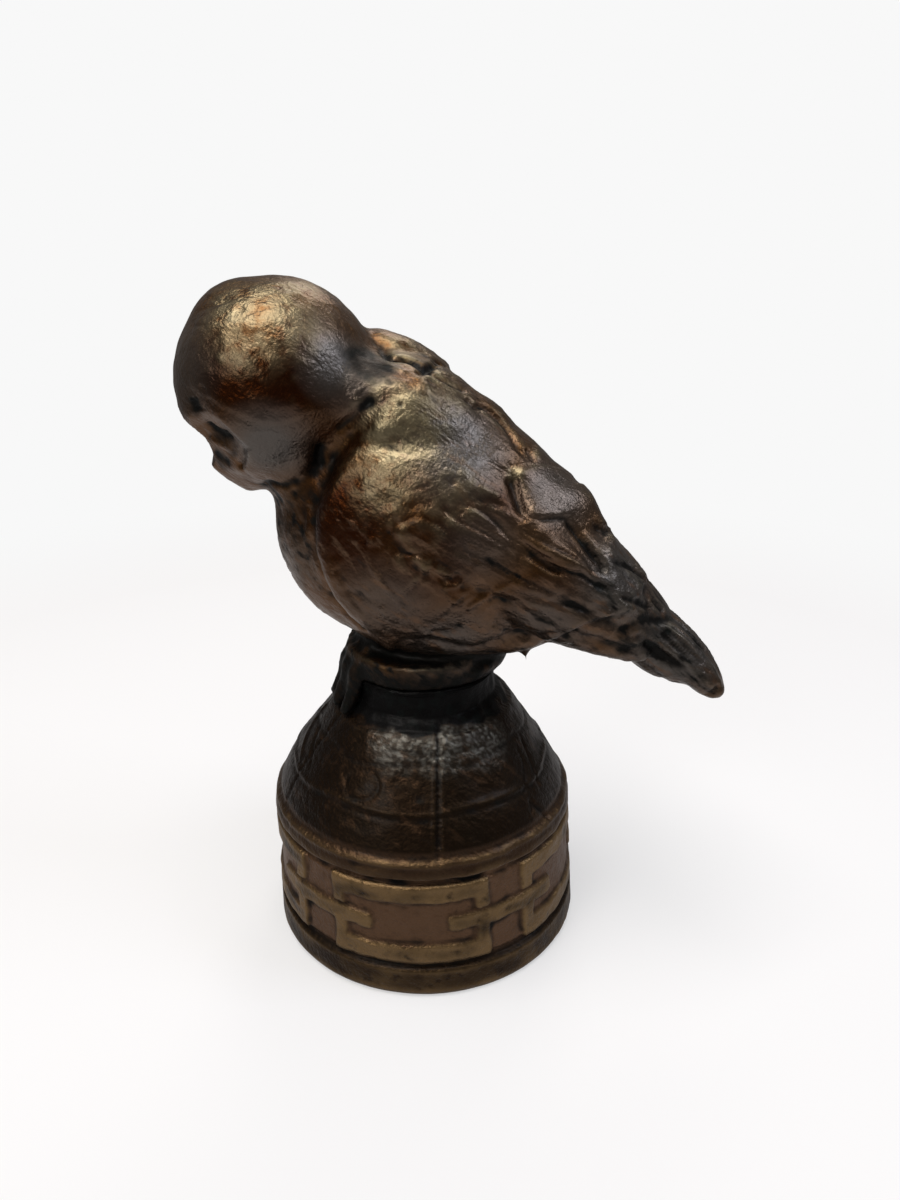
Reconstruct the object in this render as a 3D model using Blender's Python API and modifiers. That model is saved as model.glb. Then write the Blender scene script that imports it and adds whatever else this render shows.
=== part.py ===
"""A small bronze owl, its head bowed and turned to its left, on a round plinth with a key-pattern band.

Metres, +Z up. The origin is the centre of the plinth's flat underside. The owl faces -X and its
tail points to +X, so its left side is towards -Y.
"""

from math import cos, exp, pi, radians, sin

import bmesh
import bpy
from mathutils import Euler, Matrix, Vector
from mathutils.bvhtree import BVHTree
from mathutils.kdtree import KDTree

MM = 0.001

# The plinth: a drum with a foot ring, a fret band and a rim band, under a dome that ends in a neck
PLINTH_RADIUS = 40.0 * MM
DRUM_TAPER = 1.3 * MM
FOOT_HEIGHT = 8.0 * MM
FOOT_ROUNDING = 1.6 * MM
GROOVE_WIDTH = 2.0 * MM
GROOVE_DEPTH = 1.3 * MM
FRET_HEIGHT = 21.3 * MM
RIM_HEIGHT = 4.6 * MM
RIM_SETBACK = 1.7 * MM
RIM_FLARE = 0.5 * MM
DOME_HEIGHT = 24.0 * MM
DOME_TOP_RADIUS = 22.2 * MM
DOME_BULGE = 0.9 * MM
DOME_SHOULDER_STEP = 2.4 * MM
NECK_HEIGHT = 9.2 * MM
NECK_RADIUS = 18.0 * MM
TURNED_STEPS = 60

# The cast isn't true: its drum and dome lean towards the owl's head, and its neck stands back half of that
PLINTH_LEAN = 1.5 * MM

# The fret: flat bars that stand proud of the drum, in units that are linked by a middle bar
FRET_UNITS = 5
FRET_RELIEF = 0.8 * MM
FRET_SINK = 1.2 * MM
FRET_UNIT_ANGLE = radians(58.0)
FRET_FIRST_ANGLE = radians(-93.8)
FRET_RAIL = 4.7 * MM
FRET_STEM = 3.7 * MM
FRET_ARM = 4.3 * MM
FRET_ARM_REACH = 10.8 * MM
FRET_NOTCH = 0.5 * MM
FRET_STEP_ANGLE = radians(12.0)

# The owl: every length of the figure is in parts, which are ninetieths of its height
OWL_HEIGHT = 90.0 * MM
PART = OWL_HEIGHT / 90.0
OWL_TURN = radians(-8.0)
SEAT_CLEARANCE = 0.3 * MM
BODY_VOXEL = 1.5 * PART
FIGURE_VOXEL = 0.85 * PART
OWL_TRIANGLES = 5000

FLIGHT_FEATHERS = 4
BEAK_BEADS = 10
DISC_DEPTH = 3.6
EYE_DEPTH = 1.4
BRIDGE_RADIUS = 8.0
BRIDGE_DEPTH = 5.2
BRIDGE_UP = 8.0
SEAT_FLARE = 1.0 * MM
SEAT_DEPTH = 8.0 * MM

# Carved lines on the flank: how deep and how wide, in parts, and the points that the line runs through, as
# the distance behind and above the middle of the seat. Each is cut on the left side and again on the right.
CARVED_LINES = (
    (1.9, 1.9, ((-4, 68), (-12, 61), (-18, 54), (-22, 44), (-22.5, 34), (-19, 23), (-12, 14))),
    (1.3, 1.2, ((22, 54), (24.5, 46), (26.5, 39), (34, 40), (42, 44))),
    (1.4, 1.2, ((34, 40), (40, 33), (46, 23))),
    (1.0, 1.1, ((8, 45), (14, 48.5), (20, 42), (28, 36), (38, 28), (50, 19))),
    (0.9, 1.1, ((-3, 41), (3, 33), (12, 30), (21, 25), (31, 27), (40, 22), (52, 15))),
    (0.9, 1.2, ((4, 14), (14, 11), (25, 15), (36, 17), (50, 11))),
    (1.0, 1.0, ((52, 13), (60, 7), (70, -2))),
)
CARVING_STEP = 1.0 * PART
CARVING_LIFT = 0.45

HEAD_CENTRE = Vector((-33.4, 0.0, 68.2)) * PART
HEAD_RADIUS = 23.4 * PART
FACE_TURN = radians(22.0)
FACE_BOW = radians(38.0)

BRONZE_SRGB = (0.245, 0.150, 0.090)
PLINTH_SRGB = (0.200, 0.130, 0.092)


def clear_scene():
    """Starts from an empty scene."""
    for obj in list(bpy.data.objects):
        bpy.data.objects.remove(obj, do_unlink=True)


def collection_named(name):
    """A new collection, linked to the scene."""
    made = bpy.data.collections.new(name)
    bpy.context.scene.collection.children.link(made)
    return made


def linear(srgb):
    """An sRGB colour as the linear values that a shader socket takes, with alpha."""
    return tuple(c / 12.92 if c <= 0.04045 else ((c + 0.055) / 1.055) ** 2.4 for c in srgb) + (1.0,)


def metal(name, srgb, roughness):
    """A patinated bronze finish."""
    material = bpy.data.materials.new(name)
    material.use_nodes = True
    shader = material.node_tree.nodes["Principled BSDF"]
    shader.inputs["Base Color"].default_value = linear(srgb)
    shader.inputs["Roughness"].default_value = roughness
    shader.inputs["Metallic"].default_value = 1.0
    return material


def object_from(name, bm, collection):
    """An object that holds the bmesh, which is freed."""
    mesh = bpy.data.meshes.new(name)
    bm.to_mesh(mesh)
    bm.free()
    obj = bpy.data.objects.new(name, mesh)
    collection.objects.link(obj)
    return obj


def as_cutter(obj):
    """Marks an object as a helper that is no part of the model."""
    obj.hide_render = True
    obj.display_type = "WIRE"
    return obj


def bake(obj):
    """Applies every modifier of the object to its mesh."""
    graph = bpy.context.evaluated_depsgraph_get()
    mesh = bpy.data.meshes.new_from_object(obj.evaluated_get(graph))
    obj.modifiers.clear()
    old = obj.data
    obj.data = mesh
    bpy.data.meshes.remove(old)
    return obj


def fuse(obj, voxel, smoothing):
    """Makes the shapes in the object one skin, and softens where they meet."""
    remesh = obj.modifiers.new("Fuse", "REMESH")
    remesh.mode = "VOXEL"
    remesh.voxel_size = voxel
    soften = obj.modifiers.new("Soften", "SMOOTH")
    soften.factor = 0.5
    soften.iterations = smoothing
    return bake(obj)


def boolean(obj, other, operation):
    """Cuts the other object from this one, or joins it to this one. The other's own shapes may overlap."""
    modifier = obj.modifiers.new(operation.title(), "BOOLEAN")
    modifier.operation = operation
    modifier.object = other
    modifier.solver = "EXACT"
    modifier.use_self = True
    return bake(obj)


def turned(name, profile, collection):
    """A solid of revolution round Z from a profile of (radius, height), which starts and ends on the axis."""
    bm = bmesh.new()
    points = [bm.verts.new((radius, 0.0, height)) for radius, height in profile]
    for first, second in zip(points, points[1:]):
        bm.edges.new((first, second))
    obj = object_from(name, bm, collection)
    screw = obj.modifiers.new("Turn", "SCREW")
    screw.angle = 2 * pi
    screw.steps = TURNED_STEPS
    screw.render_steps = TURNED_STEPS
    screw.use_merge_vertices = True
    screw.merge_threshold = 0.00001
    return bake(obj)


def plinth_levels():
    """The heights of the plinth's parts, from the underside up."""
    levels = {"foot": FOOT_HEIGHT}
    levels["fret"] = levels["foot"] + GROOVE_WIDTH
    levels["groove"] = levels["fret"] + FRET_HEIGHT
    levels["rim"] = levels["groove"] + GROOVE_WIDTH
    levels["dome"] = levels["rim"] + RIM_HEIGHT
    levels["shoulder"] = levels["dome"] + DOME_HEIGHT
    levels["top"] = levels["shoulder"] + NECK_HEIGHT
    return levels


def drum_radius(height):
    """The drum's radius over its bars, which is a little less towards the rim."""
    return PLINTH_RADIUS - DRUM_TAPER * height / plinth_levels()["rim"]


def plinth_profile(grow):
    """The plinth's outline as (radius, height), top to bottom, made larger all round by grow."""
    at = plinth_levels()
    rim = PLINTH_RADIUS - RIM_SETBACK + grow
    neck = NECK_RADIUS + grow
    dome_top = DOME_TOP_RADIUS + grow
    profile = [(0.0, at["top"] + grow), (neck, at["top"] + grow)]
    profile.append((neck, at["top"] - 0.4 * NECK_HEIGHT))
    profile.append((neck + 0.2 * DOME_SHOULDER_STEP, at["top"] - 0.72 * NECK_HEIGHT))
    profile.append((dome_top - 0.35 * DOME_SHOULDER_STEP, at["shoulder"] + 0.3 * MM + grow))
    profile.append((dome_top, at["shoulder"] - 0.5 * MM))
    # The dome's side is nearly straight at the top and rounds over at the rim
    dome_drop = 7
    for step in range(1, dome_drop + 1):
        share = step / dome_drop
        bulge = DOME_BULGE * sin(pi * share ** 1.5)
        radius = dome_top + (rim - 0.8 * MM - dome_top) * share + bulge
        profile.append((radius, at["shoulder"] - (at["shoulder"] - at["dome"]) * share))
    profile.append((rim, at["dome"] - 0.8 * MM))
    profile.append((rim + RIM_FLARE, at["rim"] + 0.3 * MM))
    for inset, height in (
        (GROOVE_DEPTH, at["rim"]),
        (GROOVE_DEPTH, at["groove"]),
        (FRET_RELIEF, at["groove"] - 0.2 * MM),
        (FRET_RELIEF, at["fret"] + 0.2 * MM),
        (GROOVE_DEPTH, at["fret"]),
        (GROOVE_DEPTH, at["foot"] + 0.3 * MM),
        (0.0, at["foot"] - 0.4 * MM),
    ):
        profile.append((drum_radius(height) - inset + grow, height))
    profile.append((PLINTH_RADIUS + grow, FOOT_ROUNDING))
    profile.append((PLINTH_RADIUS - 0.3 * FOOT_ROUNDING + grow, 0.3 * FOOT_ROUNDING))
    profile.append((PLINTH_RADIUS - FOOT_ROUNDING + grow, -grow))
    profile.append((0.0, -grow))
    return profile


def lean_at(height):
    """How far the plinth stands off its axis towards -X at a height."""
    at = plinth_levels()
    bend = 0.5 * (at["dome"] + at["shoulder"])
    if height < bend:
        return PLINTH_LEAN * max(height, 0.0) / bend
    return PLINTH_LEAN * (1.0 - 0.5 * min(1.0, (height - bend) / (at["shoulder"] - bend)))


def lean(obj):
    """Leans a turned solid as the cast leans."""
    for vert in obj.data.vertices:
        vert.co.x -= lean_at(vert.co.z)
    return obj


def add_bar(bm, start, end, low, high):
    """Adds a fret bar to the bmesh: a block bent round the drum between two angles and two heights."""
    inner = drum_radius(high) - FRET_RELIEF - FRET_SINK
    steps = max(1, round((end - start) / FRET_STEP_ANGLE))
    corners = [(inner, low), (drum_radius(low), low), (drum_radius(high), high), (inner, high)]
    section = [bm.verts.new((radius * cos(start), radius * sin(start), height)) for radius, height in corners]
    end_face = bm.faces.new(section)
    bmesh.ops.spin(
        bm,
        geom=[end_face],
        cent=(0, 0, 0),
        axis=(0, 0, 1),
        angle=end - start,
        steps=steps,
        use_duplicate=False,
    )


def fret_object(collection):
    """The raised bars of the fret, all round the drum. The middle bar of each unit reaches into the next."""
    at = plinth_levels()
    low, high = at["fret"], at["groove"]
    middle = (low + high) / 2
    arm_low, arm_high = middle - 0.5 * FRET_ARM, middle + 0.5 * FRET_ARM
    stem = FRET_STEM / PLINTH_RADIUS
    reach = FRET_ARM_REACH / PLINTH_RADIUS
    period = 2 * pi / FRET_UNITS
    bars = []
    for unit in range(FRET_UNITS):
        centre = FRET_FIRST_ANGLE + unit * period
        left = centre - 0.5 * FRET_UNIT_ANGLE
        right = centre + 0.5 * FRET_UNIT_ANGLE
        bars.append((left, right, high - FRET_RAIL, high))
        bars.append((left, right, low, low + FRET_RAIL))
        for start in (left, right - stem):
            bars.append((start, start + stem, arm_high + FRET_NOTCH, high - 0.5 * FRET_RAIL))
            bars.append((start, start + stem, low + 0.5 * FRET_RAIL, arm_low + 0.5 * FRET_ARM))
        bars.append((right - reach, left + period + reach, arm_low, arm_high))
    bm = bmesh.new()
    for bar in bars:
        add_bar(bm, *bar)
    bmesh.ops.recalc_face_normals(bm, faces=bm.faces)
    return as_cutter(object_from("fret_bars", bm, collection))


def make_plinth(parts, helpers):
    """The plinth, with its fret joined on."""
    plinth = turned("plinth", plinth_profile(0.0), parts)
    boolean(plinth, fret_object(helpers), "UNION")
    lean(plinth)
    plinth.data.materials.clear()
    plinth.data.materials.append(metal("plinth_bronze", PLINTH_SRGB, 0.42))
    plinth.data.set_sharp_from_angle(angle=radians(35))
    return plinth


def add_mass(bm, centre, radii, tilt=0.0, swing=0.0, roll=0.0, smooth=(28, 18)):
    """Adds an ellipsoid, in parts. Tilt in degrees drops its tail end, swing turns that end away from -Y."""
    turn = Euler((radians(roll), radians(tilt), radians(swing)), "XYZ").to_matrix().to_4x4()
    place = Matrix.Translation(Vector(centre) * PART)
    size = Matrix.Diagonal((*[radius * PART for radius in radii], 1.0))
    bmesh.ops.create_uvsphere(
        bm, u_segments=smooth[0], v_segments=smooth[1], radius=1.0, matrix=place @ turn @ size
    )


def add_pair(bm, centre, radii, tilt=0.0, swing=0.0, roll=0.0):
    """Adds a mass on the owl's left and its mirror image on the right."""
    for side in (-1, 1):
        add_mass(bm, (centre[0], side * centre[1], centre[2]), radii, tilt, side * swing, side * roll)


def add_bead_string(bm, path, start_radius, end_radius, beads=9):
    """Adds a limb that thins along a path of points in parts: beads that overlap, to be fused later."""
    spots = [Vector(point) for point in path]
    for bead in range(beads):
        along = bead / (beads - 1) * (len(spots) - 1)
        stretch = min(int(along), len(spots) - 2)
        centre = spots[stretch].lerp(spots[stretch + 1], along - stretch)
        radius = start_radius + (end_radius - start_radius) * bead / (beads - 1)
        add_mass(bm, centre, (radius, radius, radius), smooth=(12, 8))


def soft_body(helpers):
    """The head, breast, back and rump, blended like clay under the thumb."""
    bm = bmesh.new()
    add_mass(bm, HEAD_CENTRE / PART, (HEAD_RADIUS / PART,) * 3)
    add_mass(bm, (-38.0, -1.3, 76.1), (15.2, 15.2, 15.2))
    add_mass(bm, (-25, 0, 50), (13, 15.5, 13))
    add_mass(bm, (-9.0, 0, 35.5), (27, 19, 28.5))
    add_mass(bm, (4, 0, 32.8), (32, 23, 32))
    add_mass(bm, (-1, 0, 57.0), (23, 18, 16), tilt=37)
    add_mass(bm, (13, 1, 58.0), (11, 8, 7.5), tilt=42)
    add_mass(bm, (27.0, 0, 30.5), (29, 18, 15.5), tilt=39)
    add_mass(bm, (45.5, 0, 18.5), (21, 11, 9.5), tilt=40)
    add_mass(bm, (37, 0, 12.8), (19, 9, 6.5), tilt=14)
    body = object_from("owl_body", bm, helpers)
    return fuse(body, BODY_VOXEL, smoothing=7)


def add_wings(bm):
    """Adds the folded wings: a full shoulder and a blade that narrows to a tip over the rump."""
    add_pair(bm, (0, 13.0, 36), (25, 12, 24), tilt=20)
    add_pair(bm, (25, 12.0, 31), (34, 8.5, 13.5), tilt=33, swing=-9)
    add_pair(bm, (-4, 9.5, 62.2), (16, 8, 8.6), tilt=36)


def add_flight_feathers(bm):
    """Adds the long feathers of each wing as blades that overlap like tiles and run to the tail."""
    for row in range(FLIGHT_FEATHERS):
        share = row / (FLIGHT_FEATHERS - 1)
        centre = (33 + 5 * share, 16.3 - 4.5 * share, 33 - 18 * share)
        add_pair(bm, centre, (21 - 3 * share, 2.8, 4.6), tilt=42 - 20 * share, swing=-9, roll=-16)


def add_feather_plates(bm):
    """Adds the feathers that lie on the back as plates with a free edge."""
    add_mass(bm, (-4.0, 8.5, 73.0), (12, 7.5, 4.0), tilt=30, swing=4)
    add_mass(bm, (32.1, -5, 44.9), (9.6, 9.0, 3.2), tilt=40, roll=20)
    add_mass(bm, (45.2, 0, 27.0), (17, 7.0, 4.6), tilt=45)


def add_tail(bm):
    """Adds the tail: a thick fan of feathers with a blunt end."""
    add_mass(bm, (60, 0, 8.3), (17.5, 8.5, 5.2), tilt=41)
    add_mass(bm, (66.5, 0, 2.4), (9.5, 8.0, 4.0), tilt=44)
    add_mass(bm, (56.5, 0, 7.0), (13, 7.5, 6.0), tilt=33)
    for feather in (-1, 0, 1):
        add_mass(bm, (60, 5.0 * feather, 10.2 - abs(feather)), (17, 2.6, 4.6), tilt=42)


def head_frame():
    """The head's place and turn: its own +X is the way it faces, +Y its left and +Z its crown."""
    facing = Vector((-cos(FACE_BOW) * cos(FACE_TURN), -cos(FACE_BOW) * sin(FACE_TURN), -sin(FACE_BOW)))
    left = Vector((sin(FACE_TURN), -cos(FACE_TURN), 0.0))
    crown = facing.cross(left)
    turn = Matrix((facing, left, crown)).transposed().to_4x4()
    return Matrix.Translation(HEAD_CENTRE) @ turn


def add_on_head(bm, across, up, distance, radii, roll=0.0):
    """Adds an ellipsoid on a ray from the head's centre that is across and up degrees off its facing."""
    aim = Matrix.Rotation(radians(across), 4, "Z") @ Matrix.Rotation(radians(-up), 4, "Y")
    place = Matrix.Translation((distance * PART, 0, 0)) @ Matrix.Rotation(radians(roll), 4, "X")
    size = Matrix.Diagonal((*[radius * PART for radius in radii], 1.0))
    bmesh.ops.create_uvsphere(
        bm, u_segments=20, v_segments=14, radius=1.0, matrix=head_frame() @ aim @ place @ size
    )


def add_beak(bm):
    """Adds the bristled bulge below the face and the beak that hooks down from it."""
    add_on_head(bm, 0, -30, 17.0, (9.4, 7.6, 9.0))
    for bead in range(BEAK_BEADS):
        share = bead / (BEAK_BEADS - 1)
        width = 1.4 + 2.0 * sin(pi * (0.15 + 0.6 * share))
        add_on_head(bm, 0, 6 - 38 * share, 23.9 + 2.8 * share - width, (width, width, width + 0.6))


def neck_middle():
    """The middle of the plinth's neck, in the owl's own frame."""
    middle = Vector((-lean_at(plinth_levels()["top"]), 0.0, 0.0))
    return Matrix.Rotation(-OWL_TURN, 3, "Z") @ middle


def add_seat(bm):
    """Adds the waist that widens from the plinth's neck into the belly."""
    bmesh.ops.create_cone(
        bm,
        cap_ends=True,
        segments=48,
        radius1=NECK_RADIUS,
        radius2=NECK_RADIUS + SEAT_FLARE,
        depth=SEAT_DEPTH,
        matrix=Matrix.Translation(neck_middle() + Vector((0, 0, 0.3 * SEAT_DEPTH))),
    )
    add_mass(bm, (11.0, 0, 2.4), (10.0, 13.5, 5.0), tilt=-14)
    add_mass(bm, (20.5, 0, 10.4), (14, 12, 5.0), tilt=-8)


def add_feet(bm):
    """Adds the toes that grip the front edge of the neck."""
    for side in (-1, 1):
        for toe in (-1, 0, 1):
            turn = radians(side * (26 + 15 * toe))
            reach = Vector((-cos(turn), -sin(turn), 0.0)) * NECK_RADIUS / PART
            path = [reach * 0.80 + Vector((0, 0, 5.5)), reach * 1.01 + Vector((0, 0, 1.5))]
            path.append(reach * 1.08 + Vector((0, 0, -3.5)))
            path.append(reach * 1.21 + Vector((0, 0, -8.0)))
            path = [point + neck_middle() / PART for point in path]
            add_bead_string(bm, path, 2.9, 1.9, beads=14)


def add_spur(bm):
    """Adds the small dark peg that hangs under the belly."""
    add_bead_string(bm, [(25.6, -6.0, 12.0), (25.6, -6.0, 4.4)], 1.3, 0.9, beads=18)


def cut_face(owl, helpers):
    """Hollows the two sides of the facial disc and the eyes, which leaves a ridge between them."""
    reach = HEAD_RADIUS / PART
    bm = bmesh.new()
    for side in (-1, 1):
        for across, up, radii, depth in (
            (34.0, 1.0, (7.0, 12.5, 12.5), DISC_DEPTH),
            (29.0, 7.0, (4.0, 4.4, 3.4), DISC_DEPTH + EYE_DEPTH),
        ):
            add_on_head(bm, side * across, up, reach + radii[0] - depth, radii)
    add_on_head(bm, 0.0, BRIDGE_UP, reach + BRIDGE_RADIUS - BRIDGE_DEPTH, (BRIDGE_RADIUS,) * 3)
    boolean(owl, as_cutter(object_from("face_cutter", bm, helpers)), "DIFFERENCE")


def line_on_flank(tree, points, side):
    """The points of a carved line, taken every CARVING_STEP, where they meet one flank of the figure."""
    spots = [Vector((x, 0.0, z)) * PART for x, z in points]
    found = []
    for first, second in zip(spots, spots[1:]):
        steps = max(1, round((second - first).length / CARVING_STEP))
        for step in range(steps):
            aim = first.lerp(second, step / steps) + Vector((0, side * OWL_HEIGHT, 0))
            hit = tree.ray_cast(aim, Vector((0, -side, 0)))[0]
            if hit is not None:
                found.append((hit, (second - first).normalized()))
    return found


def carve(owl):
    """Presses the carved lines in. The skin above a line stands a little proud, as a feather's edge does."""
    bm = bmesh.new()
    bm.from_mesh(owl.data)
    bm.normal_update()
    tree = BVHTree.FromBMesh(bm)
    shift = [0.0] * len(bm.verts)
    for depth, width, points in CARVED_LINES:
        for side in (-1, 1):
            line = line_on_flank(tree, points, side)
            places = KDTree(len(line))
            for index, (spot, _) in enumerate(line):
                places.insert(spot, index)
            places.balance()
            for vert in bm.verts:
                spot, index, distance = places.find(vert.co)
                if distance > 5 * width * PART:
                    continue
                along = line[index][1]
                above = (vert.co - spot).dot(Vector((-along.z, 0.0, along.x)))
                cut = depth * exp(-((distance / (width * PART)) ** 2))
                away = above / (width * PART) - 1.8
                lift = depth * CARVING_LIFT * exp(-(away ** 2) / 2.5)
                shift[vert.index] += (lift - cut) * PART
    for vert in bm.verts:
        vert.co += vert.normal * shift[vert.index]
    bm.to_mesh(owl.data)
    bm.free()


def reduce_to(obj, triangles):
    """Thins the mesh to about that many triangles, keeping its form."""
    faces = sum(len(face.vertices) - 2 for face in obj.data.polygons)
    thin = obj.modifiers.new("Thin", "DECIMATE")
    thin.ratio = min(1.0, triangles / faces)
    return bake(obj)


def make_owl(parts, helpers):
    """The owl, seated on the plinth's neck with its toes over the edge."""
    owl = soft_body(helpers)
    bm = bmesh.new()
    bm.from_mesh(owl.data)
    add_wings(bm)
    add_flight_feathers(bm)
    add_feather_plates(bm)
    add_tail(bm)
    add_beak(bm)
    add_seat(bm)
    add_feet(bm)
    add_spur(bm)
    bpy.data.objects.remove(owl, do_unlink=True)
    owl = object_from("owl", bm, parts)
    fuse(owl, FIGURE_VOXEL, smoothing=3)
    cut_face(owl, helpers)
    carve(owl)
    reduce_to(owl, OWL_TRIANGLES)
    seat = plinth_levels()["top"]
    owl.data.transform(Matrix.Translation((0, 0, seat)) @ Matrix.Rotation(OWL_TURN, 4, "Z"))
    room = as_cutter(lean(turned("seat_cutter", plinth_profile(SEAT_CLEARANCE), helpers)))
    boolean(owl, room, "DIFFERENCE")
    owl.data.materials.clear()
    owl.data.materials.append(metal("owl_bronze", BRONZE_SRGB, 0.36))
    owl.data.shade_smooth()
    owl.data.set_sharp_from_angle(angle=radians(50))
    return owl


def main():
    """Builds the plinth and the owl."""
    clear_scene()
    parts = collection_named("bronze_owl")
    helpers = collection_named("cutters")
    make_plinth(parts, helpers)
    make_owl(parts, helpers)


main()
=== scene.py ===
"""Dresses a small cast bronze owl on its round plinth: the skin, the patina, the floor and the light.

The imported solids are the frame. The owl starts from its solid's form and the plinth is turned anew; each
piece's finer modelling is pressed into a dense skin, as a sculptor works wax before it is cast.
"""

from __future__ import annotations

import logging
import math
from dataclasses import dataclass, field
from enum import Enum

import bmesh
import bpy
import numpy as np
from mathutils import Matrix, Vector, noise
from mathutils.bvhtree import BVHTree

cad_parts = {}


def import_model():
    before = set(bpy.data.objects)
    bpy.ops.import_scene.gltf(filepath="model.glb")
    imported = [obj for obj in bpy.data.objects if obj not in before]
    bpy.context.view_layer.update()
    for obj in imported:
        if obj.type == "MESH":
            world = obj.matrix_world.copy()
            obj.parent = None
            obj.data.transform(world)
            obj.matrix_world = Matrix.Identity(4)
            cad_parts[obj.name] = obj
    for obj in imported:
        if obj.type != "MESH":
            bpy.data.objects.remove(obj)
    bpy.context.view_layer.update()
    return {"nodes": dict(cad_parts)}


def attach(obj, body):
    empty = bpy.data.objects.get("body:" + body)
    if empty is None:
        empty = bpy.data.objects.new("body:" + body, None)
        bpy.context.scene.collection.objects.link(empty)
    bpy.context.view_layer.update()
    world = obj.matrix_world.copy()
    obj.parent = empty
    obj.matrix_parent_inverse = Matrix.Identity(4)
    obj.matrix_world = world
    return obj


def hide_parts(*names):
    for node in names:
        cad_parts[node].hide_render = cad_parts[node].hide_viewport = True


LOG = logging.getLogger("bronze_owl")
MM = 0.001
# Points nearer to each other than this are one point
MERGED = 0.001 * MM

# The photograph's frame in pixels, and the lens that its perspective fits
PHOTO_SIZE = (900, 1200)
FOCAL_PIXELS = 902.0
SENSOR_MM = 36.0
CAMERA_PLACE = Vector((6.3, -205.9, 170.4)) * MM
CAMERA_PITCH = math.radians(22.0)

# The owl is turned on its plinth by this much, about the plinth's axis
OWL_TURN = math.radians(-8.0)

Pixels = tuple[tuple[float, float], ...]
Hit = tuple[Vector, Vector]
Tree = bpy.types.NodeTree
Socket = bpy.types.NodeSocket
Sockets = dict[str, Socket]

# The settings of a node that maps a value with soft ends, and of one that mixes two colours
SOFT_ENDS = {"interpolation_type": "SMOOTHSTEP", "clamp": True}
COLOURS = {"data_type": "RGBA"}


def linear(colour: str) -> tuple[float, float, float, float]:
    """Turns an sRGB hex colour such as "#6a4526" into linear values with alpha.

    Args:
        colour: six hex digits after a hash.

    Returns:
        The red, green, blue and alpha that a shader socket takes.
    """
    parts = [int(colour[i : i + 2], 16) / 255 for i in (1, 3, 5)]
    red, green, blue = [c / 12.92 if c <= 0.04045 else ((c + 0.055) / 1.055) ** 2.4 for c in parts]
    return (red, green, blue, 1.0)


def photo_ray(u: float, v: float) -> Vector:
    """Gives the direction from the camera through a pixel of the photograph.

    Args:
        u: the pixel's distance from the photograph's left edge.
        v: the pixel's distance from its top edge.

    Returns:
        A unit vector in the frame of the model.
    """
    ahead = Vector((0, math.cos(CAMERA_PITCH), -math.sin(CAMERA_PITCH)))
    down = Vector((0, -math.sin(CAMERA_PITCH), -math.cos(CAMERA_PITCH)))
    right = Vector((1, 0, 0))
    across = (u - PHOTO_SIZE[0] / 2) / FOCAL_PIXELS
    below = (v - PHOTO_SIZE[1] / 2) / FOCAL_PIXELS
    return (ahead + right * across + down * below).normalized()


class Mark(Enum):
    """The kinds of mark that a modelling tool leaves in wax."""

    GROOVE = "a pressed line"
    RIDGE = "a raised line"
    STEP = "an edge, whose left side stands proud as the line is walked"


@dataclass(frozen=True)
class Stroke:
    """One mark in the wax, in millimetres, whose points are the photograph's pixels or places on the dome.

    The spread is how far a step's raised side takes to fall back to the skin. Without one it falls back soon.
    """

    name: str
    mark: Mark
    width: float
    height: float
    points: Pixels
    mirrored: bool = True
    spread: float = 0.0


@dataclass(frozen=True)
class Patch:
    """A round patch for patina, painted light and smoothing: its middle's pixel in the photograph, and its
    radius in millimetres.
    """

    name: str
    middle: tuple[float, float]
    radius: float
    strength: float = 1.0


def smooth_path(points: list[tuple[float, ...]], spacing: float) -> list[np.ndarray]:
    """Draws a smooth curve through the points and steps along it.

    Args:
        points: the points that the curve passes through.
        spacing: the distance between the steps, in the points' own unit.

    Returns:
        The steps as arrays.
    """
    spots = [np.array(point, float) for point in points]
    spots = [2 * spots[0] - spots[1], *spots, 2 * spots[-1] - spots[-2]]
    found = []
    for before, start, end, after in zip(spots, spots[1:], spots[2:], spots[3:]):
        count = max(1, round(float(np.linalg.norm(end - start)) / spacing))
        for step in range(count):
            t = step / count
            found.append(
                0.5
                * (
                    2 * start
                    + (end - before) * t
                    + (2 * before - 5 * start + 4 * end - after) * t**2
                    + (3 * start - before - 3 * end + after) * t**3
                )
            )
    found.append(spots[-2])
    return found


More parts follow.
